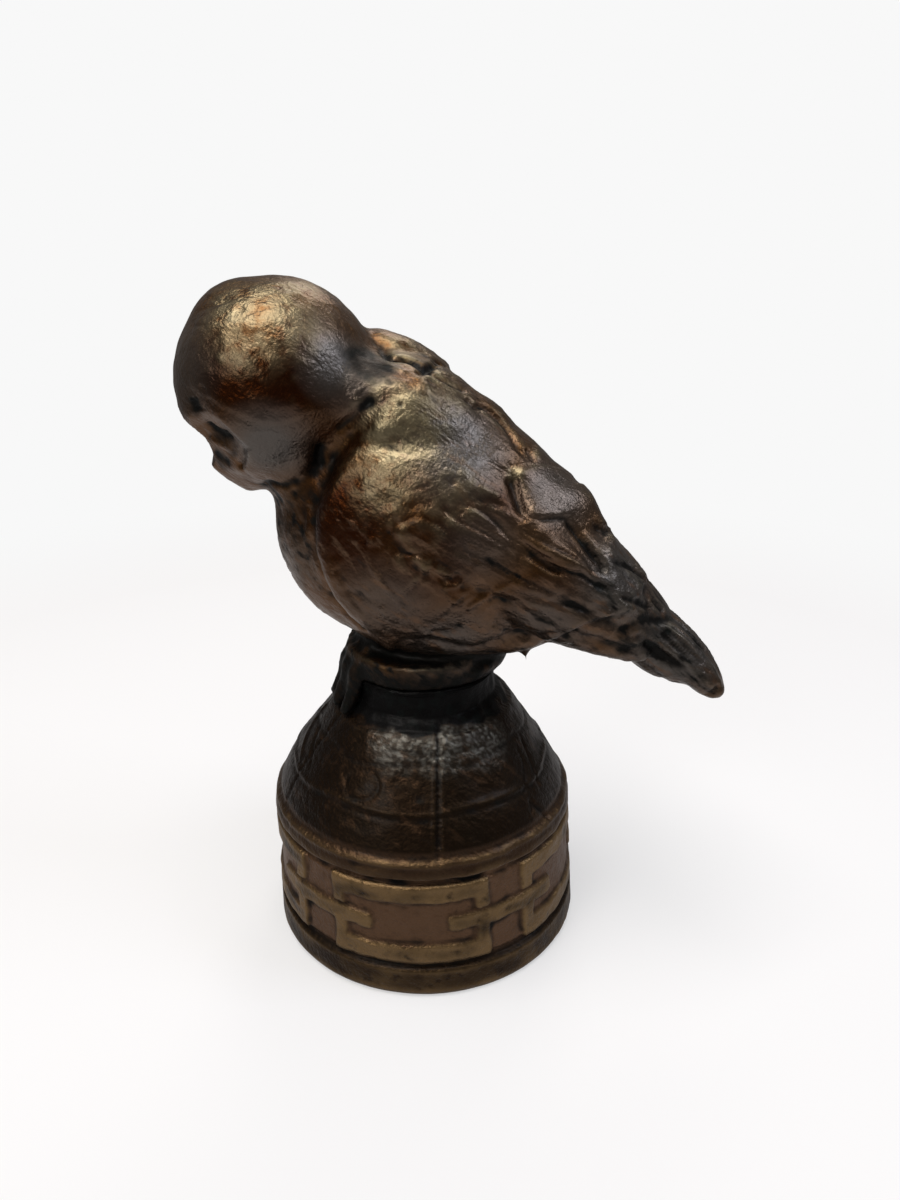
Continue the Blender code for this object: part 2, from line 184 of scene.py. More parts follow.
class Clay:
    """The dense skin of one piece, held as arrays while it is worked."""

    PATH_STEP_PIXELS = 1.6
    # A mark's reach and a step's least spread, in widths of the mark
    REACH = 5.0
    LEAST_SPREAD = 2.5
    # How soft a step's edge is, and how wide and deep the hollow at its foot, as shares of its own size
    STEP_SOFTNESS = 0.35
    FOOT_WIDTH = 0.6
    FOOT_DEPTH = 0.4
    # A mark grows from this share of its height over this share of its length
    TAPER_START = 0.25
    TAPER_LENGTH = 0.16
    # A mark is left off the skin that faces away from it, by the cosine between the normals
    SAME_SIDE = 0.1
    # Where a patch ends, in its radii
    PATCH_END = 1.5
    STEP_IN = 0.5
    STEP_OUT = -0.52
    # The rounds of blur that show creases and planes, and the depth that counts as whole
    FINE_ROUNDS = 4
    FINE_HEIGHT = 0.10 * MM
    BROAD_ROUNDS = 22
    BROAD_HEIGHT = 0.42 * MM

    def __init__(self, obj: bpy.types.Object) -> None:
        """Takes over an object's mesh.

        Args:
            obj: the object, whose mesh is triangles or quads throughout.
        """
        self.obj = obj
        mesh = obj.data
        self.count = len(mesh.vertices)
        edges = np.empty(len(mesh.edges) * 2, np.int32)
        mesh.edges.foreach_get("vertices", edges)
        self.edges = edges.reshape(-1, 2)
        self.valence = np.bincount(self.edges.ravel(), minlength=self.count).astype(np.float32)
        self.refresh()

    def refresh(self) -> None:
        """Reads the mesh's points and normals again, and rebuilds what rays are cast on."""
        mesh = self.obj.data
        mesh.update()
        points = np.empty(self.count * 3, np.float32)
        mesh.vertices.foreach_get("co", points)
        self.points = points.reshape(-1, 3)
        normals = np.empty(self.count * 3, np.float32)
        mesh.vertices.foreach_get("normal", normals)
        self.normals = normals.reshape(-1, 3)
        skin = bmesh.new()
        skin.from_mesh(mesh)
        self.tree = BVHTree.FromBMesh(skin)
        skin.free()
        self.lift = np.zeros(self.count, np.float32)

    def settle(self) -> None:
        """Moves the points along their normals by the lift that the strokes have gathered."""
        self.write(self.points + self.normals * self.lift[:, None])

    def write(self, points: np.ndarray) -> None:
        """Gives the mesh new points."""
        self.obj.data.vertices.foreach_set("co", points.astype(np.float32).ravel())
        self.refresh()

    def averaged(self, values: np.ndarray, rounds: int, share: float = 1.0) -> np.ndarray:
        """Blurs values over the skin.

        Args:
            values: one row for each point.
            rounds: how many times each point takes its neighbours' mean.
            share: how far it goes towards that mean each time.

        Returns:
            The blurred values.
        """
        first, second = self.edges[:, 0], self.edges[:, 1]
        flat = values.reshape(self.count, -1).astype(np.float64)
        for _ in range(rounds):
            sums = [
                np.bincount(first, column[second], self.count)
                + np.bincount(second, column[first], self.count)
                for column in flat.T
            ]
            total = np.stack(sums, axis=1)
            flat = flat + share * (total / self.valence[:, None] - flat)
        return flat.reshape(values.shape).astype(np.float32)

    def relax(self, rounds: int) -> None:
        """Smooths the skin without shrinking it, by a step in and a slightly longer step out.

        Args:
            rounds: how many pairs of steps.
        """
        points = self.points
        for _ in range(rounds):
            points = self.averaged(points, 1, self.STEP_IN)
            points = self.averaged(points, 1, self.STEP_OUT)
        self.write(points)

    def cast(self, u: float, v: float) -> Hit | None:
        """Finds where a pixel of the photograph falls on the skin.

        Args:
            u: the pixel's distance from the photograph's left edge.
            v: the pixel's distance from its top edge.

        Returns:
            The place and its normal, or None where the pixel misses.
        """
        place, normal, _, _ = self.tree.ray_cast(CAMERA_PLACE, photo_ray(u, v))
        return None if place is None else (place, normal)

    def traced(self, pixels: Pixels) -> list[Hit]:
        """Lays a smooth line of pixels on the skin.

        Args:
            pixels: the line's points in the photograph.

        Returns:
            The places that it passes, with their normals.
        """
        steps = smooth_path(list(pixels), self.PATH_STEP_PIXELS)
        hits = [self.cast(u, v) for u, v in steps]
        return [hit for hit in hits if hit is not None]

    def mirrored(self, line: list[Hit]) -> list[Hit]:
        """Lays a line on the far side, mirrored in the figure's middle plane, and walks it backwards.

        Args:
            line: places with their normals.

        Returns:
            The far line. Walked backwards, it keeps the same side of a step raised.
        """
        flip = across_the_middle()
        found = [self.tree.find_nearest(flip @ place)[:2] for place, _ in reversed(line)]
        return [(place, normal) for place, normal in found]

    def press(self, line: list[Hit], stroke: Stroke, share: float = 1.0) -> None:
        """Adds one mark to the lift.

        Args:
            line: places on the skin with their normals.
            stroke: the mark.
            share: how much of its height it gets.
        """
        if len(line) < 2:
            return
        mark, width, height = stroke.mark, stroke.width * MM, share * stroke.height * MM
        spread = max(stroke.spread * MM, self.LEAST_SPREAD * width)
        spots = np.array([place[:] for place, _ in line], np.float32)
        facing = np.array([normal[:] for _, normal in line], np.float32)
        reach = max(self.REACH * width, 2 * spread if mark is Mark.STEP else 0)
        inside = (self.points > spots.min(0) - reach) & (self.points < spots.max(0) + reach)
        near = np.flatnonzero(inside.all(1))
        if not len(near):
            return
        gaps = self.points[near][:, None, :] - spots[None]
        squares = (gaps**2).sum(2)
        index = squares.argmin(1)
        nearest = gaps[np.arange(len(near)), index]
        distance = np.sqrt(squares[np.arange(len(near)), index])
        progress = index / (len(spots) - 1)
        ends = np.minimum(progress, 1 - progress) / self.TAPER_LENGTH + self.TAPER_START
        taper = np.clip(ends, 0, 1)
        if mark is Mark.STEP:
            along = np.gradient(spots, axis=0)
            along /= np.maximum(np.linalg.norm(along, axis=1, keepdims=True), 1e-9)
            left = np.cross(facing, along)
            side = (nearest * left[index]).sum(1)
            shape = self.step_shape(side, distance, width, spread)
        else:
            shape = np.exp(-((distance / width) ** 2))
            shape = -shape if mark is Mark.GROOVE else shape
        same_side = (self.normals[near] * facing[index]).sum(1) > self.SAME_SIDE
        self.lift[near] += shape * taper * height * same_side

    def step_shape(
        self, side: np.ndarray, distance: np.ndarray, width: float, spread: float
    ) -> np.ndarray:
        """Works out a step's section: a proud left side that falls back slowly, and a hollow at its foot.

        Args:
            side: how far each point lies to the line's left.
            distance: how far it lies from the line.
            width: the step's own width.
            spread: how far the proud side takes to fall back.

        Returns:
            The share of the step's height at each point.
        """
        beyond = np.sqrt(np.maximum(distance**2 - side**2, 0))
        raised = 0.5 + 0.5 * np.tanh(side / (self.STEP_SOFTNESS * width))
        shape = raised * np.exp(-((np.maximum(side, 0) / spread) ** 1.5))
        shape -= self.FOOT_DEPTH * np.exp(-(((side + 0.5 * width) / (self.FOOT_WIDTH * width)) ** 2))
        shape *= np.exp(-((beyond / (width + 0.5 * np.maximum(side, 0))) ** 2))
        return shape

    def patch(self, places: list[tuple[Vector, float, float]]) -> np.ndarray:
        """Gives each point how far it lies inside some round patches, which fade towards their edges.

        Args:
            places: each patch's middle, radius and strength, in metres.

        Returns:
            One value for each point, from 0 to 1.
        """
        cover = np.zeros(self.count, np.float32)
        for middle, radius, strength in places:
            away = np.linalg.norm(self.points - np.array(middle, np.float32), axis=1)
            cover = np.maximum(cover, strength * np.clip(self.PATCH_END - away / radius, 0, 1))
        return cover

    def keep(self, name: str, values: np.ndarray) -> None:
        """Stores one value for each point as an attribute that the patina and its painted light read."""
        layer = self.obj.data.attributes.new(name, "FLOAT", "POINT")
        layer.data.foreach_set("value", np.ascontiguousarray(values, np.float32))

    def depth(self, rounds: int, share: float, unit: float) -> np.ndarray:
        """Measures how deep each point lies below the blurred skin, in units of a real height."""
        return ((self.averaged(self.points, rounds, share) - self.points) * self.normals).sum(1) / unit

    def keep_relief(self) -> None:
        """Stores where the skin is hollow and where it is crested, at a crease's and at a plane's scale."""
        fine = self.depth(self.FINE_ROUNDS, 1.0, self.FINE_HEIGHT)
        broad = self.depth(self.BROAD_ROUNDS, 0.8, self.BROAD_HEIGHT)
        hollow = self.averaged(np.clip(0.7 * fine + 0.45 * broad, 0, 1.3), 1)
        crest = self.averaged(np.clip(-0.8 * fine - 0.45 * broad, 0, 1.5), 1)
        self.keep("hollow", hollow)
        self.keep("crest", crest)


@dataclass(frozen=True)
class Waves:
    """Unevenness in the wax or the patina, as noise whose waves have a real size in millimetres.

    The seed makes one noise unlike another. The waves may be drawn out along the figure, across it and
    upwards, and the first of these directions may lean below the horizontal. Their height is in millimetres
    where they move the skin, and a share where they vary the patina.
    """

    size_mm: float
    seed: float
    height: float = 1.0
    stretch: tuple[float, float, float] = (1.0, 1.0, 1.0)
    lean: float = 0.0

    def over(self, points: np.ndarray) -> np.ndarray:
        """Works the waves out at each point.

        Args:
            points: places in metres.

        Returns:
            One value for each point, from about minus the height to the height.
        """
        turn = Matrix.Rotation(self.lean, 3, "Y") @ Matrix.Rotation(-OWL_TURN, 3, "Z")
        sizes = self.size_mm * MM * np.array(self.stretch, np.float32)
        spread = points @ np.array(turn.transposed(), np.float32) / sizes
        seed = self.seed
        found = [noise.noise((x + seed, y - seed, z + 2 * seed)) for x, y, z in spread.tolist()]
        return self.height * np.array(found, np.float32)


def add(
    tree: Tree, kind: str, links: dict | None = None, out: int | str = 0, **settings: object
) -> Socket | None:
    """Adds a shader node with its settings and links.

    Args:
        tree: the material's or the world's node tree.
        kind: the node's type, without its ShaderNode prefix.
        links: each input's name or number, with its value or the output socket that feeds it.
        out: the name or number of the output that is wanted.
        **settings: the node's own properties.

    Returns:
        That output's socket, or None for a node that ends the tree.
    """
    made = tree.nodes.new("ShaderNode" + kind)
    for name, value in settings.items():
        setattr(made, name, value)
    for name, value in (links or {}).items():
        if isinstance(value, Socket):
            tree.links.new(value, made.inputs[name])
        else:
            made.inputs[name].default_value = value
    return made.outputs[out] if made.outputs else None


@dataclass(frozen=True)
class CastBronze:
    """Bronze cast from wax, given a brown patina over heat, waxed, and rubbed by hands since.

    Where hands reach, the brown is rubbed through to golden metal; on the owl's crown and shoulders and on
    faces that look up, the golden is also a painted highlight of the light above. Creases and shaded places
    are painted near black, partly the patina's own black and partly painted shade. Faces that look down are
    painted greyish, a painted reflection of the pale floor, the owl's sides amber, a painted reflection of
    the dim room, and slate gives the owl a painted bluish sheen.
    """

    name: str
    brown: str = "#5b3f22"
    amber: str = "#341602"
    golden: str = "#82775d"
    bloom_and_floor_reflection: str = "#6d5441"
    # Greyish: the pale vanes' colour, and painted on faces that look down as a reflection of the pale floor
    slate: str = "#625e5a"
    black: str = "#100e0b"
    verdigris: str = "#10120f"
    # A neutral grey, painted as sheen on the dome
    sheen_colour: str = "#84837c"
    roughness: float = 0.34
    metallic: float = 0.97
    # The thin wax over the metal gives a second, softer glint
    wax: float = 0.08
    wax_roughness: float = 0.28
    # The clouds that the torch leaves in a patina, and the speckle of the acid brushed on between them
    blotch_mm: float = 11.0
    mottle_mm: float = 2.6
    # Feathers' vanes are toothed lines in the wax about 1 mm apart, drawn coarser so that they show
    vane_mm: float = 2.4
    vane_length: float = 3.2
    # The mould's grain is about 0.2 mm and the brush's lines about 0.4 mm apart, both drawn coarser so that
    # they show
    grain_mm: float = 0.7
    streak_mm: float = 1.3
    streak_length: float = 2.4
    tool_depth_mm: float = 0.22
    feather_lean: float = math.radians(36)
    # Between which values of the noise the amber clouds and the pale and sooty vanes fade in
    browned_over: tuple[float, float] = (0.35, 0.68)
    pale_over: tuple[float, float] = (0.53, 0.68)
    sooty_over: tuple[float, float] = (0.52, 0.3)
    # How much of the amber, of the grey painted below as a reflection of the pale floor, of the pale vanes
    # and of the sooty vanes shows
    browned_share: float = 0.35
    floor_reflection_share: float = 0.8
    pale_share: float = 0.8
    sooty_share: float = 0.5
    # How much hands have rubbed the crests, how much painted highlight the faces that look up get, and how
    # black the creases are painted, partly patina and partly painted shade
    edge_wear: float = 0.18
    crease_soot_and_shade: float = 0.52
    wear_from: float = 0.12
    wear_to: float = 0.6
    top_highlight: float = 0.35
    # The painted black, partly patina and partly painted shade, is rougher and less metallic than the wax,
    # and both are unevenly rough
    uneven_roughness: float = 0.35
    soot_and_shade_roughness: float = 0.3
    soot_and_shade_dullness: float = 0.12

    def material(self) -> bpy.types.Material:
        """Builds the finish as nodes.

        Returns:
            The material.
        """
        made = bpy.data.materials.new(self.name)
        made.use_nodes = True
        tree = made.node_tree
        tree.nodes.clear()
        place = add(tree, "TexCoord", out="Object")
        up = add(tree, "SeparateXYZ", {0: add(tree, "NewGeometry", out="Normal")}, "Z")
        on_skin = {
            name: add(tree, "Attribute", out="Fac", attribute_name=name, attribute_type="GEOMETRY")
            for name in ("hollow", "crest", "rubbed_and_lit", "dark", "amber_and_room_reflection", "grey_sheen_and_ground", "feathered", "painted_sheen")
        }
        clouds = {
            "blotch": self.cloud(tree, place, self.blotch_mm, 4.0),
            "mottle": self.cloud(tree, place, self.mottle_mm, 6.0),
            "grain": self.cloud(tree, place, self.grain_mm, 3.0),
            "vane": self.cloud(tree, place, self.vane_mm, 5.0, (self.vane_length, 1.0, 1.0)),
        }
        ground = self.patina(tree, up, on_skin, clouds)
        gold_and_highlight = self.wear_and_highlight(tree, up, on_skin, clouds)
        # Golden metal where hands have rubbed, and a painted highlight where the light above falls
        metal = add(tree, "Mix", {0: gold_and_highlight, 6: ground, 7: linear(self.golden)}, 2, **COLOURS)
        # Painted sheen: the colour moves to a neutral grey where the dome's sheen is painted
        metal = add(tree, "Mix", {0: on_skin["painted_sheen"], 6: metal, 7: linear(self.sheen_colour)}, 2, **COLOURS)
        # Black where the patina keeps it, and as painted shade in creases and shaded places
        soot_and_shade = self.soot_and_shade(tree, on_skin, clouds)
        green = add(tree, "MapRange", {0: clouds["mottle"], 1: 0.52, 2: 0.62}, **SOFT_ENDS)
        black_mix = add(tree, "Mix", {0: green, 6: linear(self.black), 7: linear(self.verdigris)}, 2, **COLOURS)
        metal = add(tree, "Mix", {0: soot_and_shade, 6: metal, 7: black_mix}, 2, **COLOURS)

        uneven = add(tree, "Math", {0: clouds["mottle"], 1: 0.5}, operation="SUBTRACT")
        rough = {0: uneven, 1: self.uneven_roughness, 2: self.roughness}
        rough = add(tree, "Math", rough, operation="MULTIPLY_ADD")
        rough = {0: soot_and_shade, 1: self.soot_and_shade_roughness, 2: rough}
        rough = add(tree, "Math", rough, operation="MULTIPLY_ADD")
        bare = {0: soot_and_shade, 1: -self.soot_and_shade_dullness, 2: self.metallic}
        bare = add(tree, "Math", bare, operation="MULTIPLY_ADD")
        inputs = {"Base Color": metal, "Metallic": bare, "Roughness": rough}
        inputs |= {"Coat Weight": self.wax, "Coat Roughness": self.wax_roughness}
        inputs["Normal"] = self.tooled(tree, place, clouds)
        shader = add(tree, "BsdfPrincipled", inputs)
        add(tree, "OutputMaterial", {"Surface": shader})
        return made

    def patina(self, tree: Tree, up: Socket, on_skin: Sockets, clouds: Sockets) -> Socket:
        """Colours the brown patina: amber in clouds, and on the owl's sides as a painted reflection of the
        dim room; greyish where faces look down, a painted reflection of the pale floor; and slate, the
        plinth's ground and a painted bluish sheen on the owl.

        Args:
            tree: the material's node tree.
            up: how far the surface faces up.
            on_skin: the attributes that the skin carries.
            clouds: the noises.

        Returns:
            The colour.
        """
        low, high = self.browned_over
        browned = add(tree, "MapRange", {0: clouds["blotch"], 1: low, 2: high}, **SOFT_ENDS)
        browned = add(tree, "Math", {0: browned, 1: self.browned_share}, operation="MULTIPLY")
        ground = add(tree, "Mix", {0: browned, 6: linear(self.brown), 7: linear(self.amber)}, 2, **COLOURS)
        # Amber painted on the owl's sides as a painted reflection of the dim room; on the plinth it is the
        # foot's own amber
        ground = add(tree, "Mix", {0: on_skin["amber_and_room_reflection"], 6: ground, 7: linear(self.amber)}, 2, **COLOURS)
        # Faces that look down are painted greyish: a painted reflection of the pale floor
        below = add(tree, "Math", {0: clouds["blotch"], 1: 0.5, 2: up}, operation="MULTIPLY_ADD")
        below = add(tree, "MapRange", {0: below, 1: 0.35, 2: -0.35}, **SOFT_ENDS)
        below = add(tree, "Math", {0: below, 1: self.floor_reflection_share}, operation="MULTIPLY")
        ground = add(tree, "Mix", {0: below, 6: ground, 7: linear(self.bloom_and_floor_reflection)}, 2, **COLOURS)
        # Slate: on the owl a painted bluish sheen and a painted reflection of the pale floor; on the plinth
        # the ground's own colour
        ground = add(tree, "Mix", {0: on_skin["grey_sheen_and_ground"], 6: ground, 7: linear(self.slate)}, 2, **COLOURS)
        low, high = self.pale_over
        pale = {0: clouds["vane"], 1: low, 2: high, 4: self.pale_share}
        pale = add(tree, "MapRange", pale, **SOFT_ENDS)
        pale = add(tree, "Math", {0: pale, 1: on_skin["feathered"]}, operation="MULTIPLY")
        return add(tree, "Mix", {0: pale, 6: ground, 7: linear(self.bloom_and_floor_reflection)}, 2, **COLOURS)

    def wear_and_highlight(self, tree: Tree, up: Socket, on_skin: Sockets, clouds: Sockets) -> Socket:
        """Finds where the brown turns golden: rubbed edges and rubbed places, which on the owl lie where the
        light above falls and so are partly painted highlight, and faces that look up, a painted highlight.

        Args:
            tree: the material's node tree.
            up: how far the surface faces up.
            on_skin: the attributes that the skin carries.
            clouds: the noises.

        Returns:
            The share of golden metal and painted highlight.
        """
        # Faces that look up are painted golden here: a painted highlight of the light above
        high = add(tree, "MapRange", {0: up, 1: 0.1, 2: 0.95}, **SOFT_ENDS)
        patchy = add(tree, "MapRange", {0: clouds["blotch"], 1: 0.38, 2: 0.7, 4: self.top_highlight}, **SOFT_ENDS)
        gold_and_highlight = add(tree, "Math", {0: high, 1: patchy, 2: on_skin["rubbed_and_lit"]}, operation="MULTIPLY_ADD")
        speckle = {0: clouds["mottle"], 1: self.wear_from, 2: self.wear_to}
        speckle = add(tree, "MapRange", speckle, **SOFT_ENDS)
        edges = add(tree, "Math", {0: on_skin["crest"], 1: self.edge_wear}, operation="MULTIPLY")
        gold_and_highlight = add(tree, "Math", {0: gold_and_highlight, 1: speckle, 2: edges}, operation="MULTIPLY_ADD")
        return add(tree, "MapRange", {0: gold_and_highlight, 1: 0.12, 2: 0.95}, **SOFT_ENDS)

    def soot_and_shade(self, tree: Tree, on_skin: Sockets, clouds: Sockets) -> Socket:
        """Finds where black is painted: in creases, partly the patina's black and partly painted shade; in
        the shaded places, as painted shade; and between the feathers' vanes.

        Args:
            tree: the material's node tree.
            on_skin: the attributes that the skin carries.
            clouds: the noises.

        Returns:
            The share of black.
        """
        # Creases are painted black, partly the patina's own black and partly painted shade; the shaded
        # patches add painted shade
        creases = {0: on_skin["hollow"], 1: self.crease_soot_and_shade, 2: on_skin["dark"]}
        soot_and_shade = add(tree, "Math", creases, operation="MULTIPLY_ADD")
        low, high = self.sooty_over
        sooty = {0: clouds["vane"], 1: low, 2: high, 4: self.sooty_share}
        sooty = add(tree, "MapRange", sooty, **SOFT_ENDS)
        soot_and_shade = add(tree, "Math", {0: sooty, 1: on_skin["feathered"], 2: soot_and_shade}, operation="MULTIPLY_ADD")
        uneven = add(tree, "Math", {0: clouds["mottle"], 1: 0.5}, operation="SUBTRACT")
        soot_and_shade = add(tree, "Math", {0: uneven, 1: 0.5, 2: soot_and_shade}, operation="MULTIPLY_ADD")
        return add(tree, "MapRange", {0: soot_and_shade, 1: 0.2, 2: 0.95}, **SOFT_ENDS)

    def cloud(
        self, tree: Tree, place: Socket, size_mm: float, detail: float, stretch: tuple = (1.0, 1.0, 1.0)
    ) -> Socket:
        """Makes a noise whose waves have a real size, longer along the feathers if stretched.

        Args:
            tree: the material's node tree.
            place: the place on the piece.
            size_mm: the waves' size in millimetres.
            detail: how many finer waves are laid over them.
            stretch: how much longer the waves are along each direction.

        Returns:
            The noise, from 0 to 1.
        """
        spread = {"Vector": place, "Scale": stretch, "Rotation": (0.0, self.feather_lean, 0.0)}
        spread = add(tree, "Mapping", spread, vector_type="TEXTURE")
        return add(tree, "TexNoise", {"Vector": spread, "Scale": 1 / (size_mm * MM), "Detail": detail})

    def tooled(self, tree: Tree, place: Socket, clouds: Sockets) -> Socket:
        """Raises the fine drag of brush and file in the wax, and the grain of the casting.

        Args:
            tree: the material's node tree.
            place: the place on the piece.
            clouds: the noises.

        Returns:
            The bumped normal.
        """
        streaks = self.cloud(tree, place, self.streak_mm, 2.0, (self.streak_length, 1.0, 1.0))
        height = add(tree, "Math", {0: clouds["grain"], 1: 0.8, 2: streaks}, operation="MULTIPLY_ADD")
        height = add(tree, "Math", {0: clouds["mottle"], 1: 0.5, 2: height}, operation="MULTIPLY_ADD")
        depth = self.tool_depth_mm * MM
        return add(tree, "Bump", {"Height": height, "Strength": 1.0, "Distance": depth})


# Where each mark falls in the photograph. Widths and heights are real millimetres.
BROAD_STROKES = (
    Stroke(
        "hollow behind the jaw", Mark.GROOVE, 3.0, 0.5,
        ((322, 443), (318, 455), (317, 468), (308, 480)),
    ),
    Stroke(
        "fold behind the head", Mark.GROOVE, 2.0, 0.3,
        ((374, 397), (362, 408), (350, 420), (335, 432), (322, 443)),
    ),
    Stroke("eye's hollow", Mark.GROOVE, 2.2, 0.7, ((192, 398), (195, 405), (198, 411)), mirrored=False),
    Stroke(
        "swell over the plate", Mark.RIDGE, 4.5, 0.9,
        ((530, 450), (546, 462), (562, 475), (572, 483)), mirrored=False,
    ),
    Stroke(
        "swell behind the plate", Mark.RIDGE, 5.0, 2.0,
        ((570, 486), (581, 499), (589, 511), (594, 522), (599, 533)), mirrored=False,
    ),
    Stroke(
        "swell of the rump", Mark.RIDGE, 5.0, 1.9,
        ((600, 538), (613, 553), (628, 571), (642, 590)), mirrored=False,
    ),
    Stroke(
        "swell of the lower breast", Mark.RIDGE, 6.0, 0.5,
        ((352, 600), (380, 622), (410, 637)), mirrored=False,
    ),
    Stroke(
        "hollow in front of the wing", Mark.GROOVE, 3.0, 0.5,
        ((330, 455), (316, 490), (309, 520), (306, 548), (312, 585)),
    ),
)

FACE_STROKES = (
    Stroke(
        "rim of the face", Mark.STEP, 1.4, 0.2,
        ((186, 384), (200, 392), (215, 401), (232, 411), (250, 419), (270, 424), (290, 421), (310, 415),
         (330, 410)),
    ),
    Stroke(
        "pit beside the eye", Mark.GROOVE, 0.5, 0.5,
        ((199, 387), (202, 388), (207, 392)), mirrored=False,
    ),
    Stroke("slit of the eye", Mark.GROOVE, 1.5, 0.9, ((206, 422), (214, 428), (223, 434), (232, 436))),
    Stroke("ridge above the beak", Mark.RIDGE, 1.2, 0.5, ((210, 438), (218, 443), (227, 447), (234, 449))),
    Stroke("shadow on the beak", Mark.GROOVE, 1.6, 0.5, ((214, 452), (222, 459), (230, 464))),
    Stroke(
        "hind edge of the beak", Mark.GROOVE, 0.8, 0.3,
        ((243, 440), (244, 450), (243, 460), (240, 466), (245, 473), (252, 479)),
    ),
    Stroke(
        "pit behind the beak", Mark.GROOVE, 0.6, 0.6,
        ((239, 463), (240, 466), (241, 468)), mirrored=False,
    ),
    Stroke("pit at the neck", Mark.GROOVE, 1.4, 0.8, ((322, 443), (319, 452), (318, 460), (317, 468))),
    Stroke("throat", Mark.GROOVE, 1.4, 0.6, ((317, 468), (305, 478), (296, 490), (290, 497))),
    Stroke("under the jaw", Mark.GROOVE, 0.9, 0.7, ((262, 487), (270, 483), (283, 486), (300, 480))),
    Stroke(
        "nick in the cheek", Mark.GROOVE, 0.4, 0.35,
        ((244, 452), (248, 449), (252, 447)), mirrored=False,
    ),
    Stroke("low nick in the cheek", Mark.GROOVE, 0.45, 0.35, ((284, 461), (287, 463)), mirrored=False),
    Stroke(
        "fold over the cheek", Mark.RIDGE, 1.6, 0.28,
        ((245, 395), (262, 402), (282, 404), (300, 398)), mirrored=False,
    ),
    Stroke(
        "dent in the crown", Mark.GROOVE, 2.2, 0.22,
        ((230, 330), (250, 345), (275, 350)), mirrored=False,
    ),
    Stroke(
        "scratch on the crown", Mark.GROOVE, 0.5, 0.18,
        ((196, 312), (212, 306), (232, 300)), mirrored=False,
    ),
    Stroke(
        "scratches on the crown", Mark.GROOVE, 0.4, 0.07,
        ((232, 322), (252, 312), (276, 306), (296, 304)), mirrored=False,
    ),
    Stroke(
        "second scratches", Mark.GROOVE, 0.4, 0.07,
        ((240, 336), (262, 330), (284, 322)), mirrored=False,
    ),
    Stroke(
        "crack on the crown", Mark.GROOVE, 0.4, 0.25,
        ((203, 294), (212, 298), (222, 303), (226, 296)), mirrored=False,
    ),
    Stroke(
        "pits on the crown", Mark.GROOVE, 0.5, 0.3,
        ((237, 311), (241, 309), (243, 313)), mirrored=False,
    ),
    Stroke(
        "pits on the brow", Mark.GROOVE, 0.45, 0.25,
        ((192, 326), (200, 325), (206, 328)), mirrored=False,
    ),
    Stroke("nick in the brow", Mark.RIDGE, 0.5, 0.25, ((218, 356), (221, 360), (224, 363)), mirrored=False),
)

